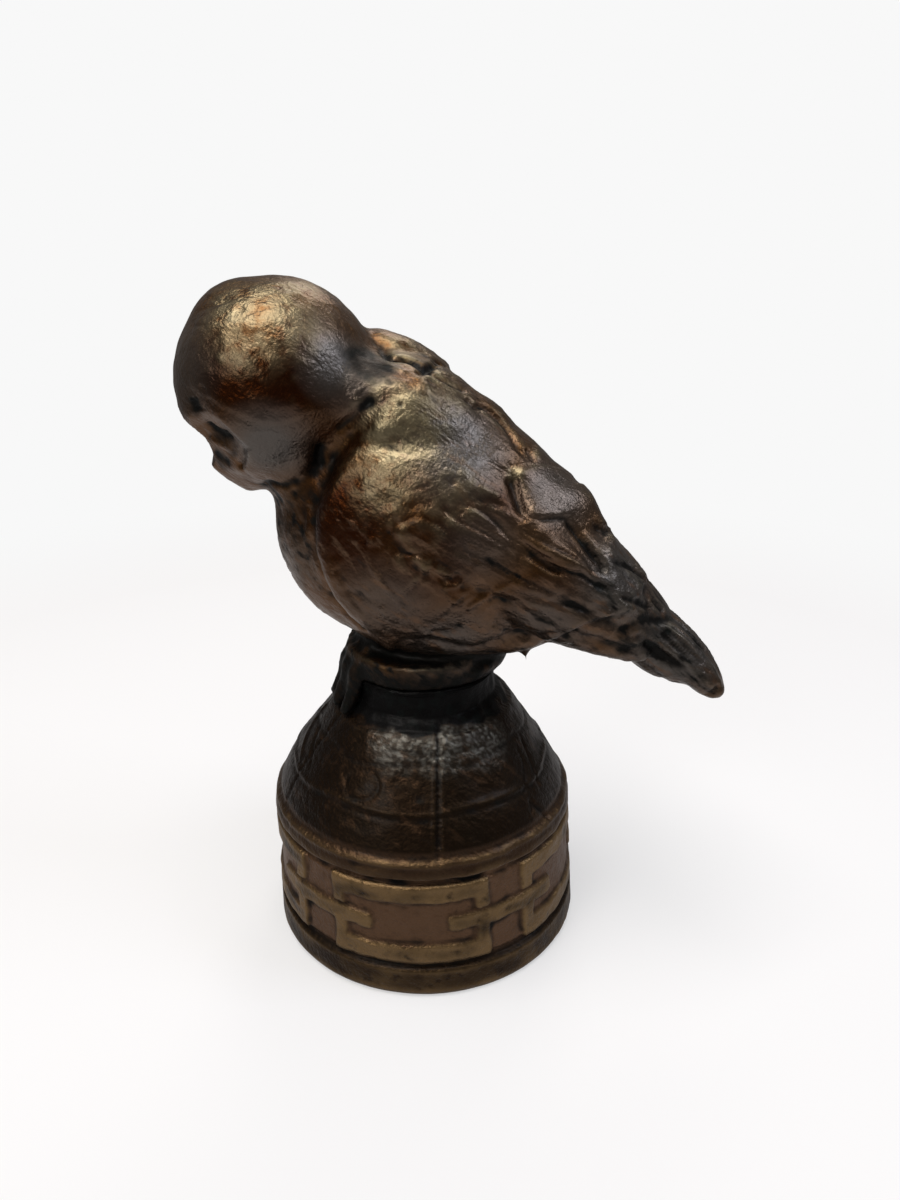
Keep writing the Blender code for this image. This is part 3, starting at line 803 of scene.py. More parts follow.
BACK_STROKES = (
    Stroke(
        "crease behind the head", Mark.GROOVE, 1.0, 0.7,
        ((374, 397), (362, 408), (350, 420), (335, 432)),
    ),
    Stroke(
        "blotch behind the head", Mark.GROOVE, 1.6, 0.5,
        ((360, 390), (368, 400), (374, 408)), mirrored=False,
    ),
    Stroke(
        "pit on the shoulder", Mark.GROOVE, 0.5, 0.6,
        ((398, 403), (401, 404), (404, 405)), mirrored=False,
    ),
    Stroke(
        "gap under the cape", Mark.GROOVE, 1.0, 1.6,
        ((381, 350), (390, 357), (403, 359), (415, 363), (425, 368), (437, 363), (446, 365)), mirrored=False,
    ),
    Stroke("second gap", Mark.GROOVE, 0.8, 0.8, ((418, 374), (424, 372), (432, 371)), mirrored=False),
    Stroke("lip under the gap", Mark.RIDGE, 0.8, 0.4, ((385, 364), (395, 369), (408, 373)), mirrored=False),
    Stroke(
        "upper groove of the back", Mark.GROOVE, 0.8, 0.6,
        ((430, 372), (440, 378), (452, 385), (466, 391)), mirrored=False,
    ),
    Stroke(
        "groove of the back", Mark.GROOVE, 0.9, 1.1,
        ((460, 396), (470, 401), (475, 406), (485, 407), (495, 415), (500, 420), (510, 432), (518, 446),
         (526, 458)), mirrored=False,
    ),
    Stroke(
        "end of that groove", Mark.GROOVE, 0.7, 0.8,
        ((526, 448), (531, 456), (535, 462)), mirrored=False,
    ),
    Stroke(
        "wrinkle on the shoulder", Mark.GROOVE, 0.5, 0.25,
        ((395, 449), (402, 452), (415, 455)), mirrored=False,
    ),
    Stroke(
        "crackle before the plate", Mark.GROOVE, 0.45, 0.35,
        ((488, 461), (497, 466), (508, 472)), mirrored=False,
    ),
    Stroke("short crackle", Mark.GROOVE, 0.4, 0.35, ((506, 460), (509, 464), (512, 469)), mirrored=False),
    Stroke(
        "left edge of the plate", Mark.STEP, 0.7, 1.0,
        ((513, 470), (518, 482), (522, 498), (527, 513), (536, 519)), mirrored=False, spread=8.0,
    ),
    Stroke(
        "upper edge of the plate", Mark.STEP, 0.9, 0.35,
        ((562, 469), (542, 466), (526, 464), (512, 468)), mirrored=False, spread=5.0,
    ),
    Stroke(
        "shadow beside the plate", Mark.GROOVE, 1.4, 1.2,
        ((510, 476), (515, 489), (519, 502), (524, 516)), mirrored=False,
    ),
    Stroke(
        "lower edge of the plate", Mark.STEP, 0.8, 0.9,
        ((533, 519), (542, 518), (551, 517), (563, 516), (572, 514), (577, 512)), mirrored=False, spread=8.0,
    ),
    Stroke(
        "lip under the plate", Mark.RIDGE, 0.45, 0.45,
        ((517, 529), (524, 525), (532, 522), (541, 521)), mirrored=False,
    ),
    Stroke(
        "crack at the plate's corner", Mark.GROOVE, 0.4, 0.5,
        ((571, 516), (573, 511), (577, 508)), mirrored=False,
    ),
    Stroke(
        "slot behind the plate", Mark.GROOVE, 1.0, 1.5,
        ((565, 519), (572, 526), (583, 540), (595, 557), (608, 575)),
    ),
    Stroke("upper slot", Mark.GROOVE, 0.8, 0.8, ((595, 522), (597, 527), (599, 532)), mirrored=False),
    Stroke(
        "rough patch before the plate", Mark.RIDGE, 0.9, 0.35,
        ((478, 486), (488, 492), (500, 497)), mirrored=False,
    ),
    Stroke(
        "rough patch, second push", Mark.RIDGE, 0.9, 0.3,
        ((484, 504), (496, 510), (508, 517)), mirrored=False,
    ),
    Stroke(
        "rough patch, third push", Mark.GROOVE, 0.8, 0.35,
        ((476, 497), (488, 503), (502, 508)), mirrored=False,
    ),
)

FLANK_STROKES = (
    Stroke(
        "front edge of the wing", Mark.GROOVE, 1.4, 0.15,
        ((327, 440), (319, 464), (311, 490), (306, 515), (302, 545), (304, 570), (312, 592)),
    ),
    Stroke(
        "ridge on the breast", Mark.RIDGE, 0.8, 0.35,
        ((309, 497), (308, 520), (305, 543)), mirrored=False,
    ),
    Stroke(
        "small step", Mark.STEP, 0.6, 0.35,
        ((347, 528), (358, 531), (366, 538), (367, 546)), mirrored=False,
    ),
    Stroke(
        "first feather shaft", Mark.RIDGE, 0.6, 0.42,
        ((367, 562), (375, 572), (384, 585), (397, 600), (407, 614), (420, 630), (430, 638)),
    ),
    Stroke(
        "second feather shaft", Mark.RIDGE, 0.6, 0.4,
        ((423, 565), (433, 573), (441, 583), (450, 597), (463, 606)),
    ),
    Stroke("chip", Mark.GROOVE, 0.8, 0.6, ((442, 580), (452, 577), (461, 576)), mirrored=False),
    Stroke("lip of the chip", Mark.RIDGE, 0.6, 0.5, ((445, 585), (455, 585), (461, 579)), mirrored=False),
    Stroke(
        "scalloped feather edge", Mark.STEP, 0.6, 0.55,
        ((450, 536), (441, 529), (431, 523), (418, 519), (402, 525), (391, 533)), spread=5.0,
    ),
    Stroke(
        "long feather groove", Mark.GROOVE, 0.9, 0.8,
        ((442, 504), (450, 513), (461, 521), (477, 528), (493, 537), (511, 547), (530, 557), (546, 567),
         (565, 573), (585, 580), (600, 588)),
    ),
    Stroke(
        "edge of the long feather", Mark.STEP, 0.8, 0.45,
        ((600, 582), (565, 567), (530, 551), (493, 531), (461, 515), (445, 506)), spread=5.0,
    ),
    Stroke("crack", Mark.GROOVE, 0.35, 0.5, ((519, 555), (518, 565), (519, 580)), mirrored=False),
    Stroke(
        "feather line under the plate", Mark.GROOVE, 0.8, 0.8,
        ((522, 544), (538, 557), (557, 568), (583, 576), (597, 585), (612, 592)),
    ),
    Stroke(
        "ridge on the thigh", Mark.RIDGE, 0.8, 0.5,
        ((463, 611), (475, 603), (487, 595), (500, 589), (511, 581)),
    ),
    Stroke(
        "thigh groove", Mark.GROOVE, 0.9, 0.4,
        ((503, 597), (515, 604), (525, 611), (543, 621), (559, 627)),
    ),
    Stroke(
        "short thigh groove", Mark.GROOVE, 0.7, 0.45,
        ((493, 624), (501, 628), (509, 633)), mirrored=False,
    ),
    Stroke("belly groove", Mark.GROOVE, 0.9, 0.5, ((431, 632), (441, 633), (452, 631), (463, 624))),
    Stroke(
        "lowest feather edge", Mark.STEP, 1.0, 0.7,
        ((540, 641), (557, 637), (572, 629), (590, 621), (608, 616), (626, 613)), spread=5.0,
    ),
    Stroke(
        "hollow above it", Mark.GROOVE, 1.2, 0.25,
        ((560, 600), (575, 605), (590, 607), (610, 609), (625, 612)),
    ),
    Stroke(
        "low feather edge", Mark.STEP, 0.7, 0.5,
        ((470, 585), (440, 566), (415, 556), (392, 556)), spread=4.0,
    ),
    Stroke(
        "faint feather", Mark.STEP, 0.7, 0.5,
        ((560, 598), (520, 580), (485, 562), (455, 550)), spread=4.0,
    ),
    Stroke(
        "upper feather", Mark.STEP, 0.7, 0.5,
        ((512, 548), (500, 530), (482, 514), (462, 506)), spread=4.0,
    ),
    Stroke(
        "feather below the plate", Mark.STEP, 0.7, 0.6,
        ((586, 566), (560, 552), (535, 540), (520, 530)), spread=4.0,
    ),
    Stroke(
        "feather over the thigh", Mark.STEP, 0.7, 0.5,
        ((590, 612), (560, 606), (530, 598), (508, 590)), spread=4.0,
    ),
    Stroke("facet on the flank", Mark.STEP, 0.8, 0.4, ((400, 596), (418, 580), (436, 560)), spread=4.0),
    Stroke("facet below it", Mark.STEP, 0.8, 0.4, ((436, 622), (452, 606), (470, 590)), spread=4.0),
    Stroke(
        "breast push", Mark.STEP, 1.0, 0.3,
        ((398, 640), (372, 622), (350, 598), (336, 570)), mirrored=False,
    ),
    Stroke(
        "breast push, second", Mark.GROOVE, 0.9, 0.25,
        ((340, 590), (362, 596), (385, 606)), mirrored=False,
    ),
    Stroke("edge on the belly", Mark.STEP, 0.7, 0.4, ((378, 606), (384, 616), (392, 622)), mirrored=False),
)

TAIL_STROKES = (
    Stroke(
        "line from the back to the tail", Mark.GROOVE, 0.6, 0.8,
        ((612, 560), (620, 563), (630, 568), (645, 578), (655, 586), (662, 592), (668, 600)),
    ),
    Stroke(
        "second line to the tail", Mark.GROOVE, 0.7, 0.7,
        ((652, 598), (658, 606), (664, 612)), mirrored=False,
    ),
    Stroke("edge above the tail", Mark.GROOVE, 0.8, 0.9, ((621, 596), (632, 600), (642, 604), (650, 608))),
    Stroke(
        "fold at the root of the tail", Mark.GROOVE, 1.2, 0.6,
        ((620, 632), (632, 626), (645, 621), (660, 620), (675, 617)),
    ),
    Stroke("tail feather line", Mark.GROOVE, 0.45, 0.4, ((672, 625), (688, 638), (704, 657))),
    Stroke("tail feather line, second", Mark.GROOVE, 0.45, 0.4, ((664, 628), (682, 643), (698, 660))),
    Stroke("tail feather line, third", Mark.GROOVE, 0.45, 0.4, ((660, 633), (676, 648), (692, 663))),
    Stroke("tail feather line, fourth", Mark.GROOVE, 0.45, 0.4, ((680, 624), (695, 640), (708, 654))),
    Stroke(
        "channel of the tail", Mark.GROOVE, 1.3, 0.3,
        ((640, 640), (652, 646), (662, 656), (676, 663), (690, 667)),
    ),
    Stroke(
        "ridge of the tail", Mark.RIDGE, 0.9, 0.3,
        ((622, 634), (640, 632), (655, 640), (670, 650), (690, 665)),
    ),
    Stroke(
        "lower line of the tail", Mark.GROOVE, 0.9, 0.5,
        ((655, 672), (665, 680), (680, 683)), mirrored=False,
    ),
    Stroke("chipped tip", Mark.GROOVE, 1.0, 0.9, ((709, 697), (717, 690), (722, 688)), mirrored=False),
)

# Places where the solid's own form is softened before the modelling
MELTED = (
    Patch("nape", (365, 370), 8.0, 1.0),
    Patch("before the nape", (345, 380), 6.0, 0.9),
    Patch("plate", (548, 495), 15.0, 1.0),
    Patch("before the plate", (508, 490), 9.0, 1.0),
    Patch("slot", (585, 548), 8.0, 0.5),
    Patch("plate's corner", (584, 498), 8.0, 0.8),
    Patch("shoulder", (396, 404), 5.0, 0.8),
    Patch("flank", (470, 530), 13.0, 0.6),
    Patch("rear flank", (560, 585), 10.0, 0.6),
    Patch("eye", (194, 404), 5.0, 1.0),
    Patch("eye's slit", (220, 431), 6.0, 1.0),
    Patch("beak", (222, 458), 4.5, 0.8),
    Patch("chin", (245, 482), 4.0, 0.6),
    Patch("behind the head", (352, 418), 5.0, 0.9),
    Patch("behind the jaw", (330, 440), 6.0, 0.9),
    Patch("neck", (314, 462), 6.0, 0.9),
    Patch("throat", (300, 487), 6.0, 0.7),
)

# Patches of patina and painted light: hands have rubbed the high places, where the light above also falls as
# a painted highlight; black is painted as shade in hollows, under ledges and at the rear; amber is painted on
# the sides as a reflection of the dim room; grey is painted below as a reflection of the pale floor and as a
# bluish sheen on the nape, mantle and plate
OWL_PATCHES = {
    # Golden where hands have rubbed; at the crown, brow and shoulders partly a painted highlight of the light
    # above
    "rubbed_and_lit": (
        Patch("crown", (262, 312), 13.0, 0.55),
        Patch("top of the crown", (268, 296), 9.0, 0.5),
        Patch("brow", (246, 344), 7.0, 0.5),
        Patch("shoulder", (402, 432), 10.0, 0.75),
        Patch("wing's shoulder", (384, 482), 9.0, 0.5),
        Patch("cape", (410, 345), 7.0, 0.4),
        Patch("back", (446, 392), 7.0, 0.4),
        Patch("flank", (452, 494), 8.0, 0.35),
        Patch("feathers", (420, 552), 9.0, 0.2),
        Patch("tip of the plate", (513, 474), 2.0, 0.6),
    ),
    # Painted shade: black painted in the eye, the creases, under the cape and the plate, at the rump and
    # tail, and on the toes
    "dark": (
        Patch("eye", (194, 404), 3.5, 0.6),
        Patch("eye slit", (222, 433), 3.4, 0.6),
        Patch("beak", (222, 460), 4.0, 0.6),
        Patch("beside the beak", (230, 446), 3.5, 0.55),
        Patch("neck", (318, 458), 4.0, 0.4),
        Patch("throat", (285, 512), 10.0, 0.42),
        Patch("nape", (368, 362), 7.0, 0.75),
        Patch("below the plate", (562, 536), 5.0, 0.35),
        Patch("behind the head", (366, 400), 2.2, 0.6),
        Patch("under the cape", (425, 365), 3.5, 0.6),
        Patch("rump", (628, 585), 11.0, 0.35),
        Patch("root of the tail", (655, 635), 10.0, 0.5),
        Patch("tail", (690, 662), 9.0, 0.4),
        Patch("toes", (358, 680), 9.0, 0.3),
        Patch("slot", (590, 550), 3.5, 0.35),
        Patch("collar", (430, 676), 3.0, 0.4),
    ),
    # Amber painted on the cheeks, breast and flanks: a painted reflection of the dim room on the sides
    "amber_and_room_reflection": (
        Patch("front of the cheek", (232, 378), 8.5, 1.0),
        Patch("cheek", (280, 390), 9.5, 1.0),
        Patch("behind the cheek", (320, 395), 8.0, 0.7),
        Patch("breast", (342, 525), 13.0, 1.0),
        Patch("flank", (430, 560), 14.0, 0.7),
        Patch("rear flank", (560, 600), 9.0, 0.4),
        Patch("before the plate", (500, 505), 5.0, 0.7),
    ),
    # Grey painted as a bluish sheen on the nape, mantle, plate, rump and tail, and as a reflection of the
    # pale floor on the jaw, belly and thigh
    "grey_sheen_and_ground": (
        Patch("jaw", (268, 448), 8.0, 0.9),
        Patch("edge of the face", (182, 365), 9.0, 0.5),
        Patch("nape", (335, 362), 7.0, 0.9),
        Patch("behind the nape", (362, 372), 8.0, 0.7),
        Patch("back of the head", (322, 335), 7.0, 0.4),
        Patch("mantle", (458, 445), 11.0, 0.9),
        Patch("plate", (556, 492), 9.0, 0.7),
        Patch("below the plate", (560, 535), 5.0, 0.3),
        Patch("belly", (385, 612), 10.0, 0.45),
        Patch("lower belly", (445, 642), 10.0, 0.7),
        Patch("thigh", (545, 630), 10.0, 0.6),
        Patch("feather edges", (485, 540), 8.0, 0.4),
        Patch("rump", (625, 580), 11.0, 0.9),
        Patch("tail", (680, 645), 14.0, 0.9),
        Patch("breast's edge", (292, 560), 7.0, 0.5),
    ),
}

# Places that are smooth: the head and the plates, which a spatula has drawn flat
SMOOTH_PLACES = (
    Patch("plate", (550, 492), 13.0),
    Patch("plate, rear", (580, 508), 5.0),
    Patch("mantle", (462, 442), 8.0, 0.6),
    Patch("nape", (352, 366), 8.0, 0.9),
)

# The middles of the plates, where no mark starts or ends
SWEPT_PLACES = (
    Patch("plate", (548, 492), 5.0),
    Patch("rear of the plate", (574, 498), 5.0),
)

# The dome's scored lines, as degrees round from the front and millimetres up
DOME_LINES = (
    Stroke(
        "front line", Mark.GROOVE, 0.6, 0.9,
        ((9.6, 63.0), (9.0, 60.0), (7.8, 56.0), (6.8, 50.0), (5.7, 40.8), (5.5, 37.5)),
    ),
    Stroke(
        "front line's lip", Mark.RIDGE, 0.6, 0.5,
        ((8.0, 62.5), (7.2, 59.0), (6.2, 55.0), (5.2, 49.0), (4.2, 40.8)),
    ),
    Stroke("right line", Mark.GROOVE, 0.55, 0.35, ((58, 54), (57.6, 50.9), (53, 48), (47.5, 45.2))),
    Stroke(
        "upper line round", Mark.GROOVE, 0.6, 0.28,
        tuple((a, 56.2 - 0.5 * (a % 3)) for a in range(-180, 181, 20)),
    ),
    Stroke(
        "middle line round", Mark.GROOVE, 0.6, 0.2,
        tuple((a, 45.8 + 0.4 * (a % 3)) for a in range(-180, 181, 20)),
    ),
    Stroke(
        "middle line's lip", Mark.RIDGE, 0.6, 0.35,
        tuple((a, 46.9 + 0.4 * (a % 3)) for a in range(-180, 181, 20)),
    ),
    Stroke(
        "shoulder line", Mark.GROOVE, 0.8, 0.35,
        tuple((a, 62.6 - 0.3 * (a % 3)) for a in range(-180, 181, 20)),
    ),
    Stroke(
        "line above the rim", Mark.GROOVE, 0.6, 0.4,
        tuple((a, 38.6 + 0.3 * (a % 3)) for a in range(-180, 181, 15)),
    ),
    Stroke(
        "line on the rim", Mark.GROOVE, 0.5, 0.3,
        tuple((a, 35.9 + 0.2 * (a % 3)) for a in range(-180, 181, 15)),
    ),
    *[
        Stroke(
            f"line at {turn}", Mark.GROOVE, 0.6, 0.4,
            ((turn + 3, 62), (turn + 1, 54), (turn, 46), (turn, 38)),
        )
        for turn in (-150, -112, -66, 98, 142, 176)
    ],
)

DOME_STROKES = (
    Stroke(
        "round mark", Mark.GROOVE, 0.7, 0.25,
        ((362, 771), (375, 778), (378, 790), (368, 799), (354, 799), (346, 790), (348, 777), (362, 771)),
    ),
    Stroke("middle of the round mark", Mark.RIDGE, 1.0, 0.15, ((358, 785), (362, 783), (367, 786))),
    Stroke("crack", Mark.GROOVE, 0.5, 0.6, ((530, 800), (538, 808), (545, 814), (550, 820))),
    Stroke("crack's fork", Mark.GROOVE, 0.4, 0.5, ((530, 800), (532, 808), (532, 815))),
    Stroke("left leaf", Mark.RIDGE, 0.6, 0.4, ((300, 762), (305, 740), (315, 720), (330, 700))),
    Stroke("left leaf's inner line", Mark.GROOVE, 0.5, 0.35, ((310, 770), (313, 745), (321, 722))),
    Stroke("right leaf", Mark.GROOVE, 0.5, 0.35, ((520, 735), (530, 760), (541, 790))),
    Stroke("dent in the dome", Mark.GROOVE, 3.0, 0.4, ((400, 770), (415, 790), (420, 805))),
    Stroke("dent, second", Mark.GROOVE, 3.0, 0.35, ((465, 765), (480, 785), (490, 800))),
    Stroke(
        "scrape over the dome", Mark.STEP, 0.8, 0.3,
        ((385, 745), (410, 752), (435, 753), (462, 750), (490, 742)),
    ),
)

# The dome's front, painted with a sheen of the light in front
DOME_SHINE = (
    Patch("painted_sheen", (400, 740), 6.0, 0.8),
    Patch("shine, middle", (440, 744), 6.0, 0.9),
    Patch("shine, right", (482, 738), 6.0, 0.7),
)


@dataclass(frozen=True)
class RubbedFret(CastBronze):
    """The same bronze under a darker patina, on a plinth whose raised band is rubbed back to dull brass.

    The ground between the bars keeps a mauve brown, the dome a deeper brown, and the neck is near black,
    partly patina and partly painted shade under the owl. The dome's front gets a painted sheen.
    """

    brown: str = "#21180f"
    amber: str = "#26170b"
    golden: str = "#7e6646"
    bloom_and_floor_reflection: str = "#4a3626"
    slate: str = "#6e533e"
    black: str = "#060505"
    verdigris: str = "#0c100f"
    roughness: float = 0.44
    edge_wear: float = 0.2
    crease_soot_and_shade: float = 0.5
    wear_from: float = 0.1
    wear_to: float = 0.5
    top_highlight: float = 0.08
    tool_depth_mm: float = 0.3
    streak_length: float = 2.0


def smooth_step(values: np.ndarray, low: float, high: float) -> np.ndarray:
    """Maps values so that low gives 0 and high gives 1, with soft ends.

    Args:
        values: the values.
        low: what gives 0. It may be more than what gives 1.
        high: what gives 1.

    Returns:
        The shares, from 0 to 1.
    """
    share = np.clip((values - low) / (high - low), 0, 1)
    return share * share * (3 - 2 * share)


def object_from(name: str, bm: bmesh.types.BMesh) -> bpy.types.Object:
    """Makes a smooth-shaded object of a bmesh, and frees the bmesh.

    Args:
        name: the object's name.
        bm: its faces.

    Returns:
        The object, linked to the scene.
    """
    mesh = bpy.data.meshes.new(name)
    bm.to_mesh(mesh)
    bm.free()
    mesh.shade_smooth()
    made = bpy.data.objects.new(name, mesh)
    bpy.context.scene.collection.objects.link(made)
    return made


def across_the_middle() -> Matrix:
    """Gives the mirroring in the upright plane along the figure's middle."""
    there = Matrix.Rotation(OWL_TURN, 3, "Z")
    return there @ Matrix.Scale(-1, 3, Vector((0, 1, 0))) @ there.inverted()


@dataclass
class OwlSkin:
    """The owl's modelled skin, over the form of its solid."""

    node: str = "owl"
    slot: str = "owl_bronze"
    voxel: float = 0.6 * MM
    # Rounds of smoothing: over all, where the solid's form melts, and on the plates
    smoothing: int = 26
    melt_rounds: int = 83
    swept_rounds: int = 45
    blur_share: float = 0.9
    # The far side, which is guessed, has weaker marks
    far_share: float = 0.8
    # The head, which is smooth, lies above the first height and before the first length, in millimetres
    head_above: tuple[float, float] = (112.0, 124.0)
    head_before: tuple[float, float] = (2.0, 16.0)
    # The uneven push of thumbs in wax, broad and fine, and the creases between the pushes
    push: Waves = Waves(6.0, 3.1, 0.26, (1.5, 1, 1), 0.7)
    thumbs: Waves = Waves(2.1, 8.4, 0.09, (1.8, 1, 1), 0.7)
    creases: Waves = Waves(3.4, 12.6, 1.0, (2.2, 1, 1), 0.5)
    crease_height: float = 0.16 * MM
    crease_sharpness: int = 9
    creased_places: Waves = Waves(8.0, 4.9)
    # The streaks of a toothed tool are about 0.5 mm apart, drawn coarser so that they show
    streaks: Waves = Waves(1.0, 5.7, 0.06, (5, 1, 1), 0.62)
    streaked_places: Waves = Waves(9.0, 2.2)
    specks: Waves = Waves(0.7, 9.9, 0.03)
    # The seat's shade: where it starts and where it is whole, as heights in millimetres, and its share
    seat_shades: tuple[tuple[float, float, float], ...] = ((77.0, 73.0, 0.25), (83.0, 78.0, 0.6))
    seat_middle: float = -2.0
    seat_reach: float = 30.0
    seat_edge: Waves = Waves(4.0, 6.6, 1.2)
    finish: CastBronze = field(default_factory=lambda: CastBronze("waxed_brown_cast_bronze"))

    def build(self, solid: bpy.types.Object) -> bpy.types.Object:
        """Models the skin and dresses it.

        Args:
            solid: the owl's node of the frame.

        Returns:
            The finished piece.
        """
        self.clay = Clay(self.dense(solid))
        self.clay.relax(self.smoothing)
        self.melt()
        self.knead()
        for strokes in (BROAD_STROKES, FACE_STROKES, BACK_STROKES, FLANK_STROKES, TAIL_STROKES):
            self.work(strokes)
        self.drag()
        self.clay.keep_relief()
        self.clay.keep("feathered", 1 - self.calm)
        for name, patches in OWL_PATCHES.items():
            cover = self.clay.patch(self.placed(patches))
            # The painted shade round the seat joins the painted shade of the patches
            if name == "dark":
                cover = np.maximum(cover, self.seat_shade())
            self.clay.keep(name, cover)
        piece = self.clay.obj
        piece.data.materials.append(self.finish.material())
        return piece

    def dense(self, solid: bpy.types.Object) -> bpy.types.Object:
        """Remeshes a merged copy of the solid into small even faces.

        Args:
            solid: the owl's node of the frame.

        Returns:
            The new object.
        """
        bm = bmesh.new()
        bm.from_mesh(solid.data)
        bmesh.ops.remove_doubles(bm, verts=bm.verts, dist=MERGED)
        rough = object_from("owl_rough", bm)
        remesh = rough.modifiers.new("Even faces", "REMESH")
        remesh.mode = "VOXEL"
        remesh.voxel_size = self.voxel
        graph = bpy.context.evaluated_depsgraph_get()
        mesh = bpy.data.meshes.new_from_object(rough.evaluated_get(graph))
        bpy.data.objects.remove(rough, do_unlink=True)
        mesh.materials.clear()
        mesh.shade_smooth()
        skin = bpy.data.objects.new("owl_skin", mesh)
        bpy.context.scene.collection.objects.link(skin)
        return skin

    def melt(self) -> None:
        """Smooths the places where the photograph shows one sweep, before they are modelled again."""
        cover = self.clay.patch(self.placed(MELTED))[:, None]
        soft = self.clay.averaged(self.clay.points, self.melt_rounds, self.blur_share)
        self.clay.write(self.clay.points + cover * (soft - self.clay.points))

    def knead(self) -> None:
        """Gives the broad planes the uneven push of thumbs in wax, and less of it to the smooth places."""
        points = self.clay.points
        head = smooth_step(points[:, 2] / MM, *self.head_above)
        head = head * smooth_step(-points[:, 0] / MM, *self.head_before)
        self.calm = np.maximum(head, self.clay.patch(self.placed(SMOOTH_PLACES)))
        self.clay.lift += MM * self.push.over(points) * (1 - 0.35 * self.calm)
        self.clay.lift += MM * self.thumbs.over(points) * (1 - 0.85 * self.calm)
        folds = 1 - np.abs(self.creases.over(points))
        gate = smooth_step(self.creased_places.over(points), -0.1, 0.35)
        self.clay.lift -= self.crease_height * folds**self.crease_sharpness * gate * (1 - self.calm)
        self.clay.settle()

    def drag(self) -> None:
        """Draws fine streaks along the feathers, as a toothed tool leaves."""
        points = self.clay.points
        gate = smooth_step(self.streaked_places.over(points), -0.25, 0.3)
        self.clay.lift += MM * self.streaks.over(points) * (0.35 + gate) * (1 - 0.6 * self.calm)
        self.clay.lift += MM * self.specks.over(points) * (1 - 0.5 * self.calm)
        self.clay.settle()

    def work(self, strokes: tuple[Stroke, ...]) -> None:
        """Presses strokes on the near side, with their mirror images on the far side, and evens the plates.

        Args:
            strokes: one group of marks.
        """
        for stroke in strokes:
            line = self.clay.traced(stroke.points)
            self.clay.press(line, stroke)
            if stroke.mirrored:
                self.clay.press(self.clay.mirrored(line), stroke, self.far_share)
        swept = self.clay.patch(self.placed(SWEPT_PLACES))
        even = self.clay.averaged(self.clay.lift, self.swept_rounds, self.blur_share)
        self.clay.lift += swept * (even - self.clay.lift)
        self.clay.settle()

    def seat_shade(self) -> np.ndarray:
        """Works out how black the skin is painted round the seat and on the toes: painted shade under the
        body.

        Returns:
            One share for each point.
        """
        points = self.clay.points
        height = points[:, 2] / MM + self.seat_edge.over(points)
        waist = np.abs(points[:, 0] / MM - self.seat_middle) < self.seat_reach
        shades = [share * smooth_step(height, start, whole) for start, whole, share in self.seat_shades]
        return waist * sum(shades)

    def placed(self, patches: tuple[Patch, ...]) -> list[tuple[Vector, float, float]]:
        """Lays patches on the near side, and their mirror images on the far side.

        Args:
            patches: the patches, by their middles in the photograph.

        Returns:
            Each patch's middle, radius and strength, in metres.
        """
        found = []
        flip = across_the_middle()
        for patch in patches:
            hit = self.clay.cast(*patch.middle)
            if hit is None:
                continue
            radius = patch.radius * MM
            far = self.clay.tree.find_nearest(flip @ hit[0])[0]
            found += [(hit[0], radius, patch.strength), (far, radius, self.far_share * patch.strength)]
        return found


